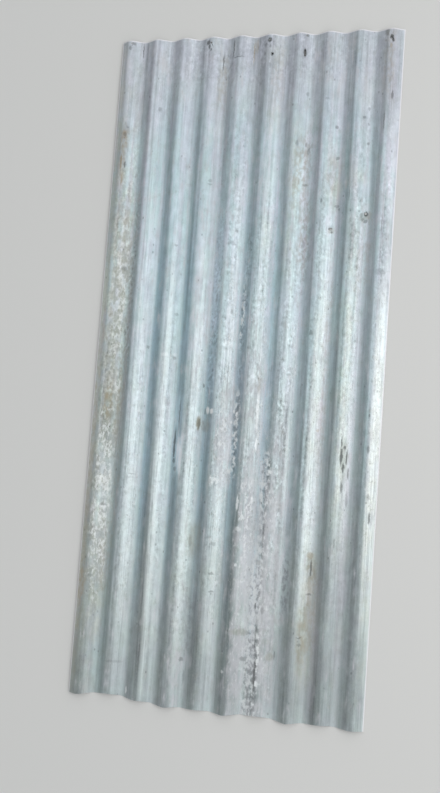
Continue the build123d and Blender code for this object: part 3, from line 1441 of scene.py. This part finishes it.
# Two nails went through the valleys, which lie half a pitch right of their crests
HOLES = (
    NailHole(crest=4, aside=-5.0, from_head=13.5, tear=14.0, heading=-64.0),
    NailHole(crest=6, aside=-2.0, from_head=13.5),
    NailHole(crest=6, aside=6.0, from_head=46.5),
    NailHole(crest=10, aside=1.0, from_head=19.5, tear=9.0, heading=-66.0, punch=-0.9),
    NailHole(crest=9, aside=RolledSection.pitch / 2, from_head=415.0, punch=0.5),
    NailHole(crest=8, aside=RolledSection.pitch / 2 - 6.0, from_head=450.0, punch=0.3),
    NailHole(crest=1, aside=3.0, from_head=6.0, radius=2.0),
    NailHole(crest=7, aside=14.0, from_head=5.5, radius=2.0),
    NailHole(crest=7, aside=12.0, from_head=46.5, radius=2.2, half_slot=6.8, punch=-0.5),
)

# Each row below gives a spot's place across and down, half its width and length, and its strength
DENTS = spots(
    (220, 962, 9, 50, -2.2), (214, 880, 7, 48, -1.2), (204, 950, 4, 36, 0.6),
    (256, 896, 5, 16, 1.1), (626, 8, 10, 10, -1.6), (288, 34, 30, 30, -0.35),
    (22, 226, 9, 16, -0.6), (453, 1388, 11, 12, -0.4),
)

# Areas of weathering and painted light, placed one by one
PATCHES = {
    # Painted highlight: streaks just right of each crest, on its lit flank
    Wear.BLOOM: spots(
        (55, 1370, 5, 90, 0.6), (107, 1000, 13, 420, 0.75), (104, 520, 16, 200, 0.3),
        (169, 960, 7.5, 500, 1), (192, 700, 7, 330, 0.35), (242.5, 960, 8, 440, 0.95),
        (313, 900, 9, 480, 0.85), (374, 560, 11, 260, 0.6), (387, 620, 6, 330, 0.5),
        (372, 840, 12, 120, 0.55), (446, 700, 4, 170, 0.75), (461, 930, 3.5, 190, 0.9),
        (515, 900, 8, 350, 0.95), (520, 620, 12, 200, 0.6), (560, 900, 3.5, 240, 0.3),
        (584, 840, 13, 320, 0.65), (648, 930, 11, 320, 1.4), (654, 900, 6, 620, 0.7),
    ),
    Wear.PALE_FILM: spots(
        (413, 1250, 56, 310, 1), (219, 962, 10, 46, 0.9), (322, 925, 24, 110, 0.9),
        (385, 860, 34, 110, 0.45), (100, 60, 40, 50, 0.4), (520, 70, 60, 70, 0.35),
        (250, 560, 24, 220, 0.35), (250, 1450, 24, 90, 0.5), (60, 1130, 26, 90, 0.3),
    ),
    Wear.WHITE_RUST: spots(
        (42, 1075, 24, 250, 1), (48, 640, 20, 160, 0.75), (56, 825, 9, 60, 0.9),
        (110, 1060, 16, 260, 0.6), (172, 1000, 10, 460, 0.4), (175, 750, 16, 24, 0.6),
        (247, 960, 12, 400, 0.55), (318, 1080, 18, 260, 0.7), (316, 650, 14, 210, 0.6),
        (310, 920, 16, 110, 0.8), (392, 880, 7, 80, 1), (386, 640, 12, 160, 0.5),
        (405, 1150, 58, 380, 0.55), (380, 1095, 20, 100, 0.9), (460, 820, 12, 220, 0.6),
        (520, 860, 14, 380, 0.7), (585, 800, 14, 420, 0.65), (646, 900, 14, 360, 0.8),
    ),
    Wear.CRUST: spots(
        (418, 1115, 11, 150, 0.6), (413, 1245, 16, 75, 0.8), (414, 1422, 17, 112, 1.1),
        (418.5, 1012, 13, 68, 0.9), (342, 920, 9, 110, 0.8), (341, 650, 6, 85, 0.8),
        (302, 1022, 12, 14, 0.7), (48, 1070, 12, 110, 0.5),
    ),
    Wear.EARTH: spots(
        (25, 240, 10, 26, 0.9), (26, 300, 6, 48, 0.5), (37, 860, 9, 50, 0.9),
        (62, 840, 6, 110, 0.6), (45, 480, 20, 90, 0.2), (6, 1080, 10, 430, 0.45),
        (9, 1270, 12, 60, 0.9), (72, 900, 10, 460, 0.3), (60, 1230, 12, 70, 0.4),
        (449, 325, 20, 90, 0.55), (463, 460, 14, 90, 0.5), (253, 105, 12, 65, 0.45),
        (384, 90, 16, 90, 0.3), (388, 800, 10, 24, 0.4), (534, 800, 8, 320, 0.35),
        (534, 1285, 14, 100, 0.5), (530, 1195, 12, 32, 0.55), (519, 1340, 11, 66, 0.55),
        (600, 500, 18, 110, 0.3), (630, 60, 12, 90, 0.45), (266, 1155, 20, 38, 0.3),
    ),
    Wear.OLIVE: spots(
        (45, 600, 26, 220, 1), (48, 900, 18, 90, 0.6), (40, 1240, 24, 100, 0.4),
        (8, 760, 12, 740, 0.6), (108, 330, 14, 120, 0.2), (520, 345, 17, 60, 0.6),
        (532, 1195, 14, 34, 0.9), (521, 1325, 12, 90, 0.75), (590, 960, 11, 62, 0.4),
    ),
    Wear.GRIME: spots(
        (468, 480, 13, 120, 0.6), (462, 280, 12, 60, 0.5), (272, 1340, 14, 80, 0.6),
        (477, 1235, 10, 70, 1.2), (269, 903, 14, 20, 0.5), (330, 950, 30, 120, 0.35),
        (118, 170, 16, 60, 0.3), (190, 300, 20, 120, 0.25), (182, 520, 16, 50, 0.4),
        (280, 300, 26, 120, 0.3), (500, 670, 8, 50, 0.4), (590, 240, 18, 60, 0.4),
        (75, 700, 10, 180, 0.3), (600, 1250, 40, 120, 0.3), (400, 1100, 20, 60, 0.4),
    ),
    Wear.CREAM: spots(
        (649, 1050, 16, 390, 0.4), (524, 1290, 17, 180, 0.5), (516, 780, 15, 260, 0.3),
        (574, 800, 14, 420, 0.5), (435, 390, 12, 170, 0.5), (32, 820, 32, 660, 0.8),
        (7, 800, 11, 740, 1.2), (45, 870, 26, 90, 1.2), (300, 1300, 260, 160, 0.15),
        (525, 345, 19, 60, 0.6), (380, 200, 13, 36, 0.5), (380, 460, 12, 45, 0.4),
        (578, 335, 22, 24, 0.5),
    ),
    Wear.AQUA: spots(
        (168, 580, 74, 320, 0.7), (165, 240, 60, 110, 0.45), (428, 520, 9, 350, 0.95),
        (360, 360, 9, 200, 0.6), (360, 1200, 9, 230, 0.6), (496, 880, 9, 260, 1),
        (496, 160, 9, 80, 0.7), (563, 850, 9, 320, 0.95), (563, 150, 9, 130, 0.8),
        (631, 790, 9, 340, 0.8), (616, 700, 9, 170, 0.8), (74, 1290, 11, 260, 0.8),
        (56, 1450, 10, 80, 0.7), (375, 540, 90, 170, 0.5), (200, 980, 130, 240, 0.45),
        (300, 240, 30, 90, 0.5), (548, 560, 9, 460, 0.6),
    ),
    Wear.ROSE: spots(
        (536, 1290, 14, 120, 0.5), (649, 650, 14, 450, 1.2), (326, 500, 9, 330, 0.5),
        (394, 560, 9, 320, 0.8), (462, 600, 9, 300, 0.7), (530, 680, 9, 360, 0.9),
        (597, 1050, 9, 440, 0.8), (548, 1350, 9, 170, 0.9), (7, 850, 9, 620, 0.7),
        (22, 290, 9, 90, 1.2), (277, 590, 10, 100, 0.8), (89, 400, 9, 200, 0.8),
        (174, 640, 10, 380, 0.5), (108, 900, 12, 300, 0.5), (345, 720, 9, 130, 0.6),
    ),
    Wear.SPECKLE: spots(
        (42, 760, 26, 520, 1.2), (70, 600, 12, 230, 1), (106, 1010, 18, 320, 0.9),
        (175, 950, 15, 340, 0.8), (243, 1090, 17, 340, 1), (277, 640, 12, 220, 1.3),
        (310, 760, 18, 560, 1), (344, 640, 9, 200, 1), (378, 700, 20, 340, 1.1),
        (446, 960, 18, 520, 1.2), (513, 760, 20, 560, 0.8), (580, 700, 18, 500, 0.8),
        (641, 620, 13, 400, 0.9), (330, 55, 320, 70, 0.5),
    ),
    # Streaks painted brighter: partly paler zinc, partly painted highlight on lit streaks, and
    # painted light on the crease's lit facets near (218, 965) and (219, 880)
    Wear.PALE_STREAK_AND_SHEEN: spots(
        (86, 420, 7, 460, 0.6), (89, 1240, 10, 260, 0.6), (106, 760, 12, 560, 0.6),
        (122, 1020, 10, 260, 0.35), (155, 380, 9, 400, 0.7), (156, 780, 9, 130, 0.4),
        (174, 1080, 9, 180, 0.95), (191, 1110, 9, 290, 0.9), (191, 620, 8, 180, 0.25),
        (226, 690, 9, 700, 0.45), (292, 350, 9, 300, 0.75), (292, 760, 9, 160, 0.4),
        (326, 1050, 8, 150, 0.55), (277, 600, 11, 90, 0.9), (218, 965, 10, 50, 2),
        (219, 880, 9, 48, 0.9), (210, 200, 10, 200, 0.35), (404, 700, 8, 400, 1),
        (413, 900, 10, 110, 0.5), (412, 1260, 11, 150, 2.4), (472, 600, 8, 480, 0.55),
        (495, 360, 5, 280, 0.5), (214, 240, 7, 270, 0.65), (217, 650, 6, 180, 0.4),
        (386, 1320, 16, 13, 0.6), (460, 1020, 4.5, 150, 0.8), (411, 730, 9, 150, 1.1),
        (414, 1040, 8, 130, 1.2), (210, 860, 8, 60, 0.5), (326, 990, 9, 70, 1.1),
        (394, 80, 9, 100, 0.4), (462, 50, 9, 45, 0.8), (530, 150, 9, 100, 0.4),
        (597, 150, 9, 150, 0.35), (345, 560, 9, 60, 0.5), (7, 830, 10, 360, 1.3),
        (7, 1270, 10, 130, 0.9), (7, 150, 9, 60, 0.6), (39, 560, 12, 130, 1),
        (39, 1060, 11, 40, 0.7), (55, 1380, 7, 90, 0.5), (242, 700, 9, 90, 0.6),
        (309, 470, 9, 150, 0.45), (309, 1100, 9, 190, 0.3), (377, 1190, 11, 90, 0.6),
        (445, 350, 9, 60, 0.6), (445, 1150, 9, 60, 0.4), (428, 350, 9, 50, 0.4),
        (428, 650, 9, 60, 0.6), (584, 955, 17, 75, 1), (259, 1170, 11, 70, 0.9),
        (123, 1190, 9, 90, 0.5), (123, 600, 9, 90, 0.4), (481, 590, 8, 110, 0.5),
        (481, 1200, 8, 90, 0.5), (210, 50, 9, 40, 0.5), (413, 50, 9, 40, 0.5),
        (21, 590, 9, 90, 0.7), (21, 1210, 9, 200, 0.7), (22, 110, 9, 90, 0.45),
        (513, 410, 9, 90, 0.4), (513, 1160, 9, 140, 0.85), (496, 300, 9, 200, 0.4),
        (462, 480, 8, 110, 0.4), (530, 620, 9, 110, 0.45), (530, 1090, 9, 130, 0.7),
        (631, 300, 8, 90, 0.45), (631, 800, 7, 90, 0.35), (631, 1290, 8, 200, 0.4),
        (213, 330, 3.5, 360, 1.1), (212.5, 70, 4.5, 90, 1.8), (89, 550, 3.5, 500, 1),
        (164, 430, 6, 190, 0.7), (173, 1120, 3, 100, 1.3), (147, 1330, 4, 160, 0.45),
        (169, 880, 3, 90, 0.5), (208.5, 870, 4, 45, 1.4), (244, 900, 4, 60, 0.6),
        (281, 560, 5, 150, 1.3), (281, 200, 3.5, 200, 0.4), (305, 730, 4, 80, 0.6),
        (333, 620, 3.5, 80, 0.5), (332, 960, 4, 45, 1.4), (343, 600, 3, 60, 0.9),
        (401, 170, 3.5, 110, 0.9), (404, 500, 3, 110, 1.3), (447, 760, 3.2, 110, 1.1),
        (470, 60, 5, 60, 1), (473, 470, 4, 60, 0.8), (469, 1195, 5, 35, 0.8),
        (498, 880, 3, 230, 0.8), (508, 310, 5, 50, 0.5), (537, 610, 3, 90, 0.5),
        (574, 1180, 3, 40, 0.9), (573, 1250, 2.5, 180, 0.45), (602, 300, 3, 260, 0.5),
        (618, 220, 3.5, 190, 0.55), (631, 740, 3.5, 280, 0.75), (642, 1330, 4, 200, 0.5),
        (652, 700, 4, 160, 0.6), (31, 1110, 5, 35, 1.3), (29, 1210, 6, 32, 1.3),
        (5, 260, 4, 240, 0.5), (24, 920, 4, 30, 0.6), (32, 1335, 7, 35, 0.4), (30, 600, 4, 50, 1),
        (90, 1100, 3.5, 260, 0.9), (105, 900, 5, 120, 0.8), (149, 1350, 3, 100, 0.7),
        (172, 1070, 2.5, 50, 1.6), (175, 1380, 3, 70, 0.25), (165, 880, 3, 70, 0.3),
        (200, 950, 3.5, 28, 0.9), (226, 1260, 4, 60, 0.5), (225, 1060, 4, 50, 0.6),
        (280, 600, 4, 50, 1.5), (281, 300, 3, 120, 0.55), (305, 700, 4, 50, 0.75),
        (321, 1230, 4, 35, 0.35), (332, 950, 4, 40, 1.7), (344, 590, 3, 35, 1.15),
        (400, 250, 3, 60, 0.85), (404, 600, 4, 60, 1.2), (413, 1080, 4, 45, 1.5),
        (412, 1300, 4, 60, 2.8), (403, 1430, 4, 35, 0.55), (433, 10, 4, 16, 0.4),
        (430, 290, 3, 50, 0.3), (447, 1120, 3, 70, 0.75), (475, 500, 4, 60, 0.95),
        (472, 1180, 4, 30, 0.95), (499, 850, 3, 60, 1), (510, 1180, 4, 30, 1.1),
        (526, 1150, 4, 22, 0.85), (524, 1340, 4, 45, 0.3), (548, 600, 4, 150, 0.2),
        (553, 900, 3, 120, 0.2), (574, 920, 3, 25, 1.2), (574, 1080, 2.5, 60, 0.6),
        (585, 420, 4, 30, 0.25), (585, 700, 4, 80, 0.2), (632, 760, 3, 90, 0.95),
        (636, 150, 3, 50, 0.3), (636, 400, 3, 60, 0.35), (644, 1180, 4, 40, 0.6),
        (655, 600, 3, 70, 0.75), (411, 1450, 9, 70, 1.2), (410, 1010, 8, 80, 1.9),
        (411, 870, 8, 80, 1.5), (343, 1100, 6, 170, 0.6), (235, 1250, 9, 140, 0.35),
        (108, 1220, 11, 200, 0.6), (31, 1230, 8, 150, 0.3), (342, 30, 7, 28, 0.5),
        (275, 30, 6, 28, 0.4), (52, 30, 8, 28, 0.4), (483, 950, 6, 150, 0.35),
        (15, 1450, 7, 60, 0.3), (15, 690, 6, 80, 0.3), (411, 700, 7, 110, 1.45),
        (469, 1215, 8, 45, 0.75), (281, 610, 6, 32, 1), (27, 962, 7, 30, 0.9),
        (346, 660, 5, 35, 0.9), (385, 1000, 5, 30, 0.8), (427, 1290, 3, 50, 1),
        (205, 880, 3, 35, 1),
    ),
    # Streaks painted darker: partly darker zinc, partly painted shade, some of it laid over
    # highlights on the flanks
    Wear.DARK_STREAK_AND_SHADE: spots(
        (358, 1290, 10, 270, 1.15), (345, 1290, 10, 260, 0.75), (200, 250, 6, 280, 0.55),
        (204, 760, 6, 260, 0.6), (232, 900, 5, 130, 0.5), (487, 420, 6, 330, 0.6),
        (504, 930, 4.5, 190, 0.9), (437, 640, 6, 190, 0.5), (76, 700, 9, 500, 0.4),
        (587, 1280, 10, 170, 0.4), (533, 1250, 6, 180, 0.4), (40, 905, 13, 66, 0.6),
        (57, 900, 9, 90, 1), (377, 570, 11, 320, 0.55), (445, 780, 9, 200, 0.6),
        (445, 230, 9, 60, 0.35), (513, 1460, 12, 60, 0.5), (530, 1465, 12, 60, 0.6),
        (496, 1150, 9, 330, 0.4), (462, 1420, 9, 100, 0.9), (597, 1300, 9, 210, 1.05),
        (594, 1440, 20, 100, 0.8), (580, 1160, 9, 60, 0.6), (563, 760, 9, 360, 0.4),
        (560, 1440, 12, 100, 1), (548, 1080, 10, 380, 0.4), (648, 510, 11, 105, 1),
        (648, 1420, 10, 110, 0.45), (259, 600, 8, 320, 0.3), (163, 1330, 4, 190, 1.2),
        (182, 1020, 3.5, 220, 0.55), (199, 300, 4, 350, 0.7), (234, 900, 2.6, 170, 0.9),
        (251, 510, 4, 50, 0.7), (251, 800, 4, 60, 0.6), (272, 780, 3, 100, 0.55),
        (315, 790, 7, 24, 0.9), (314, 1190, 5, 26, 0.8), (318, 610, 4, 40, 0.5),
        (342, 935, 3, 60, 0.6), (356, 960, 3, 130, 0.6), (365, 1370, 4, 110, 0.9),
        (372, 880, 6, 90, 0.8), (385, 600, 3.5, 140, 1), (438, 700, 3.5, 110, 0.9),
        (455, 930, 3, 80, 1.7), (456, 1120, 2.5, 170, 0.9), (489, 300, 3, 170, 0.9),
        (505, 1110, 3.5, 80, 1), (519, 680, 3, 35, 0.9), (514, 885, 3, 30, 0.6),
        (557, 830, 3, 180, 0.9), (573, 480, 5, 50, 1.3), (586, 1080, 5, 80, 0.9),
        (605, 1080, 4, 80, 0.7), (626.5, 210, 2.5, 110, 0.8), (33, 915, 4, 30, 1.2),
        (44, 950, 6, 35, 0.8), (58, 540, 4, 40, 0.7), (58, 1180, 4, 50, 0.7),
        (133, 420, 4, 170, 0.5), (151, 450, 3, 120, 0.4), (41, 935, 4, 30, 0.95),
        (56, 830, 4, 60, 1), (82, 1310, 3, 130, 0.85), (81, 800, 3, 150, 0.6),
        (163, 1390, 3.5, 90, 1.6), (205, 1000, 3, 30, 0.55), (202, 600, 4, 160, 0.75),
        (232, 880, 3, 45, 1.1), (231, 1010, 3, 40, 0.75), (250, 60, 4, 35, 0.4),
        (270, 700, 4, 60, 0.5), (309, 790, 4, 30, 0.95), (320, 600, 4, 60, 0.75),
        (313, 900, 4, 40, 0.25), (310, 1180, 4, 22, 0.85), (375, 180, 5, 70, 0.3),
        (372, 380, 4, 90, 0.7), (386, 870, 4, 25, 0.7), (397, 850, 3, 25, 0.35),
        (383, 680, 3.5, 40, 1.05), (423, 1120, 3, 35, 0.45), (424, 1420, 3, 50, 0.6),
        (439, 690, 3.5, 70, 1.4), (441, 845, 4, 40, 1.1), (454.5, 890, 3, 60, 2.3),
        (457, 1100, 3, 60, 1.3), (457, 1350, 3, 60, 0.9), (452, 180, 4, 70, 0.45),
        (491, 300, 3, 90, 1), (493, 800, 3, 90, 0.9), (493, 950, 3, 70, 1.1),
        (505, 1080, 3, 45, 1.35), (513, 880, 3, 30, 0.8), (531, 1200, 3, 28, 1),
        (540, 1300, 5, 80, 0.45), (520, 180, 6, 50, 0.25), (556, 650, 3, 90, 0.6),
        (564, 980, 4, 90, 0.65), (566, 640, 4, 60, 0.65), (570, 900, 3, 40, 0.5),
        (581, 1130, 4, 28, 1), (588, 1030, 3.5, 40, 1), (592, 300, 4, 60, 0.2),
        (600, 850, 3, 80, 0.3), (607, 900, 3, 90, 0.4), (605, 1100, 3, 50, 0.95),
        (628, 150, 2.5, 60, 0.85), (630, 650, 2.5, 60, 0.25), (645, 980, 4, 35, 0.4),
        (645, 530, 4, 40, 1.25), (535, 1290, 9, 110, 0.55), (206, 450, 6, 420, 0.85),
        (207, 1100, 6, 150, 0.5), (77, 1100, 6, 150, 0.55), (240, 300, 13, 90, 0.35),
        (614, 780, 7, 160, 0.6), (515, 1420, 12, 80, 0.35), (275, 1030, 6, 80, 0.4),
        (275, 1450, 6, 60, 0.3), (50, 1020, 8, 60, 0.35), (267, 1208, 9, 35, 0.5),
        (514, 1130, 5, 35, 0.8), (503, 1235, 4, 50, 0.7), (317, 800, 5, 35, 0.8),
        (40, 950, 5, 35, 0.6), (384, 1335, 16, 22, 0.5), (449, 1370, 10, 28, 0.35),
        (450, 45, 210, 55, 0.28), (191, 150, 9, 90, 0.45), (259, 150, 9, 90, 0.4),
        (326, 200, 9, 190, 0.35), (326, 500, 9, 140, 0.35), (157, 1250, 10, 240, 0.75),
        (142, 270, 8, 180, 0.55), (242, 110, 9, 80, 0.35), (309, 110, 9, 70, 0.35),
        (377, 850, 10, 70, 0.6), (648, 100, 11, 95, 0.6), (631, 130, 8, 90, 0.5),
        (616, 350, 9, 160, 0.55), (225, 80, 9, 80, 0.5), (360, 160, 9, 60, 0.45),
        (360, 1000, 9, 80, 0.4), (292, 1380, 9, 120, 0.55), (496, 390, 8, 90, 0.5),
        (563, 350, 9, 170, 0.65), (56, 260, 9, 160, 0.4), (56, 40, 9, 40, 0.5),
        (326, 50, 9, 50, 0.45), (394, 500, 9, 100, 0.5), (462, 900, 6, 90, 0.4),
        (22, 260, 9, 60, 0.5), (413, 330, 8, 110, 0.4), (309, 1450, 11, 60, 0.45),
        (377, 1420, 11, 90, 0.45), (225, 370, 8, 110, 0.4), (563, 1000, 9, 480, 0.4),
        (496, 1460, 9, 60, 0.5), (616, 700, 9, 200, 0.4),
    ),
}

# Small marks, placed one by one
MARKS = {
    # The dark marks round the nail holes, the first rows and those near (523, 450) and (599, 416)
    # among them, are partly rust and smudges and partly painted shade
    Tone.DARK: spots(
        (213, 12, 5, 7, 0.9), (216, 22, 3, 6, 0.8), (221, 31, 2.5, 4, 0.7),
        (358.5, 14, 5.5, 6, 0.95), (350, 24, 3.5, 5, 0.45), (361, 29, 3, 5, 0.5),
        (349, 45, 2.5, 5, 0.4), (366, 47, 4, 5, 0.8), (441, 46, 4, 11, 0.7), (445, 5, 3, 4, 0.6),
        (632.5, 19.5, 4.5, 6, 1), (635.5, 26, 3, 6.5, 1), (641, 151, 2.8, 11, 0.65),
        (22, 18, 4, 5, 0.5), (30, 7, 5, 4, 0.5), (26, 228, 4, 6, 0.4), (31, 301, 2, 9, 0.7),
        (52, 22, 1.5, 20, 0.7), (274, 27, 1.6, 23, 0.8), (251, 60, 1.5, 23, 0.65),
        (288, 50, 15, 1.6, 0.6), (204.5, 950, 3, 40, 0.75), (206, 984, 4, 6, 0.6),
        (212, 880, 1.8, 38, 0.45), (210, 1002, 4, 6, 0.4), (106, 168, 4, 6, 0.35),
        (31, 210, 4, 3, 0.35), (241, 340, 5, 4, 0.35), (241, 348, 5, 3, 0.35),
        (363, 74, 2.5, 7, 0.35), (523, 219, 4, 4.5, 0.55), (499, 156, 5, 3.5, 0.3),
        (453, 141, 3.5, 5, 0.35), (463, 272, 4, 9, 0.4), (456, 258, 3, 5, 0.4),
        (437, 256, 3, 8, 0.4), (279, 612, 3, 16, 0.35), (312, 457, 3.5, 3.5, 0.4),
        (309, 488, 3, 3, 0.35), (314, 642, 2.6, 5, 0.4), (583, 199, 4, 4, 0.5),
        (592, 178, 3, 4, 0.35), (594, 257, 3.5, 4, 0.45), (593, 214, 2.5, 3.5, 0.35),
        (530, 290, 5, 4, 0.45), (460, 350, 7, 3.5, 0.4), (500, 388, 2.5, 5, 0.5),
        (534, 399, 6, 4, 0.4), (540, 406, 2.5, 3, 0.4), (561, 372, 1.4, 18, 0.4),
        (626, 208, 1.4, 26, 0.5), (622, 8, 5, 10, 0.4), (523, 450, 5, 4.5, 0.7),
        (526, 457, 3, 3, 0.6), (599, 416, 5, 6, 0.95), (497, 683, 4, 6, 0.5),
        (465, 485, 5, 9, 0.35), (637, 545, 12, 8, 0.25), (635, 440, 1.4, 22, 0.35),
        (173, 492, 4, 3, 0.4), (184, 651, 5, 4, 0.35), (187, 752, 5, 4, 0.4),
        (122, 729, 3.5, 4, 0.4), (178, 920, 2.5, 2.5, 0.5), (176, 1098, 3.5, 2, 0.4),
        (109, 1021, 8, 1.6, 0.35), (109, 1028, 8, 1.6, 0.3), (45, 1095, 6, 4, 0.5),
        (64, 698, 4, 7, 0.35), (50, 548, 6, 6, 0.35), (311, 1225, 6, 3.5, 0.5),
        (314, 1264, 6, 3, 0.5), (311, 1160, 6, 5, 0.35), (256, 1418, 5, 5, 0.5),
        (265, 1455, 2, 18, 0.3), (103, 1441, 20, 3.5, 0.22), (261, 811, 2.4, 4.5, 0.6),
        (270, 869, 2.2, 8, 0.45), (257, 899, 3.4, 13, 0.5), (257, 1160, 4, 13, 0.22),
        (415, 1283, 2.4, 7, 0.85), (422, 1130, 2.5, 30, 0.45), (415, 1190, 8, 6, 0.35),
        (432, 1291, 4.5, 8, 0.4), (420.5, 1345, 2.2, 38, 0.5), (424, 1428, 3, 42, 0.7),
        (463, 1384, 2, 9, 0.5), (394, 1400, 8, 5, 0.45), (529, 1193, 2.2, 20, 0.75),
        (528, 1247, 6, 2.5, 0.5), (513, 1340, 6, 2, 0.5), (515, 1355, 5, 3.5, 0.4),
        (578.5, 918, 1.8, 13, 0.8), (585.5, 929, 2.8, 5, 0.8), (579.5, 948, 3.2, 22, 0.95),
        (590.5, 950, 2.2, 17, 0.85), (584, 973, 3, 12, 0.85), (595, 984, 2, 13, 0.6),
        (583, 1014, 2.6, 14, 0.7), (576, 1135, 2, 12, 0.4), (595, 1040, 3, 18, 0.35),
        (634, 857, 2, 4, 0.6), (636, 930, 3, 9, 0.55), (641, 1030, 4, 8, 0.35),
        (645.5, 1075, 3.2, 13, 0.8), (589.5, 419, 3.2, 7, 0.45), (592, 427.5, 3.8, 5, 0.5),
        (598, 432, 5.5, 4, 0.5),
    ),
    Tone.WHITE: spots(
        (276.5, 867, 5, 8, 1), (286.5, 868, 4.5, 7, 1), (336, 866, 3.5, 5, 0.9),
        (343, 870, 3, 3, 0.9), (331, 890, 3, 3, 0.7), (338, 919, 3.5, 3.5, 0.9),
        (345, 968, 3.5, 4, 0.8), (343, 987, 3, 3.5, 0.7), (334, 999, 3.5, 6, 0.8),
        (340, 660, 3.5, 5, 0.8), (338, 628, 2.5, 6, 0.6), (389, 862, 4, 50, 0.5),
        (391, 935, 3, 16, 0.7), (166, 745, 9, 5, 0.25), (188, 744, 6, 4, 0.2),
        (306, 464, 7, 12, 0.15), (309, 715, 8, 8, 0.2), (308, 645, 6, 14, 0.15),
        (411.5, 1215, 4.5, 175, 0.25), (360, 1065, 2.5, 18, 0.7), (390, 1058, 3, 10, 0.6),
        (366, 1122, 7, 6, 0.35), (366, 1200, 3, 4, 0.45), (353, 1430, 3.5, 4, 0.6),
        (297, 1022, 7, 10, 0.35), (136, 1499, 2.2, 9, 0.9), (393, 1327, 7, 6, 0.12),
    ),
    Tone.BROWN: spots(
        (322, 36, 1.6, 29, 0.8), (328, 22, 4, 18, 0.45), (22, 294, 2.6, 19, 0.9),
        (26.5, 336, 2.2, 16, 0.7), (24, 229, 7, 11, 0.6), (256, 896, 5, 17, 0.4),
        (273, 902, 13, 14, 0.3), (257, 1156, 6, 14, 0.15), (37, 848, 8, 10, 0.35),
        (605, 419, 7, 9, 0.3), (525, 454, 8, 8, 0.35), (526, 1165, 8, 8, 0.5),
        (524, 896, 3, 4, 0.5), (632, 40, 3, 6, 0.6),
    ),
    Tone.OLIVE: spots(
        (255, 897, 5.5, 16, 0.9), (38, 850, 11, 16, 0.4), (40, 893, 10, 10, 0.35),
        (595, 424, 9, 13, 0.35), (383, 1343, 20, 8, 0.5), (269, 1154, 18, 44, 0.4),
        (584, 950, 10, 44, 0.4), (453, 1388, 9, 10, 0.55), (443, 1356, 10, 7, 0.2),
    ),
}


def main() -> tuple[Vector, Vector]:
    """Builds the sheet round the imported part, dresses it and sets the studio.

    Returns:
        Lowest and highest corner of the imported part, in metres.
    """
    logging.basicConfig(level=logging.INFO)
    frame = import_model()
    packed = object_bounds()
    LOG.info("frame: %s", ", ".join(frame["nodes"]))
    low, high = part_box(NODE)
    sheet = CorrugatedSheet(
        low=np.array(low) / MM, high=np.array(high) / MM,
        holes=HOLES, dents=DENTS, patches=PATCHES, marks=MARKS,
    )
    piece = sheet.build()
    finishes = {
        Side.WEATHER: WeatheredZinc().material(),
        Side.UNDER: UndersideZinc().material(),
        Side.CUT: CutEdge().material(),
    }
    sheet.dress(piece, finishes)
    LOG.info("%s: %d points, %d faces", piece.name, len(piece.data.vertices),
             len(piece.data.polygons))
    studio = Studio()
    LOG.info("stage: %s, %s, %s", studio.floor().name, studio.sky_light().name,
             studio.key_light().name)
    LOG.info("camera: %s", Viewpoint().camera().name)
    bpy.context.scene.view_settings.view_transform = "Standard"
    return packed


if __name__ == "__main__":
    cad_box = main()
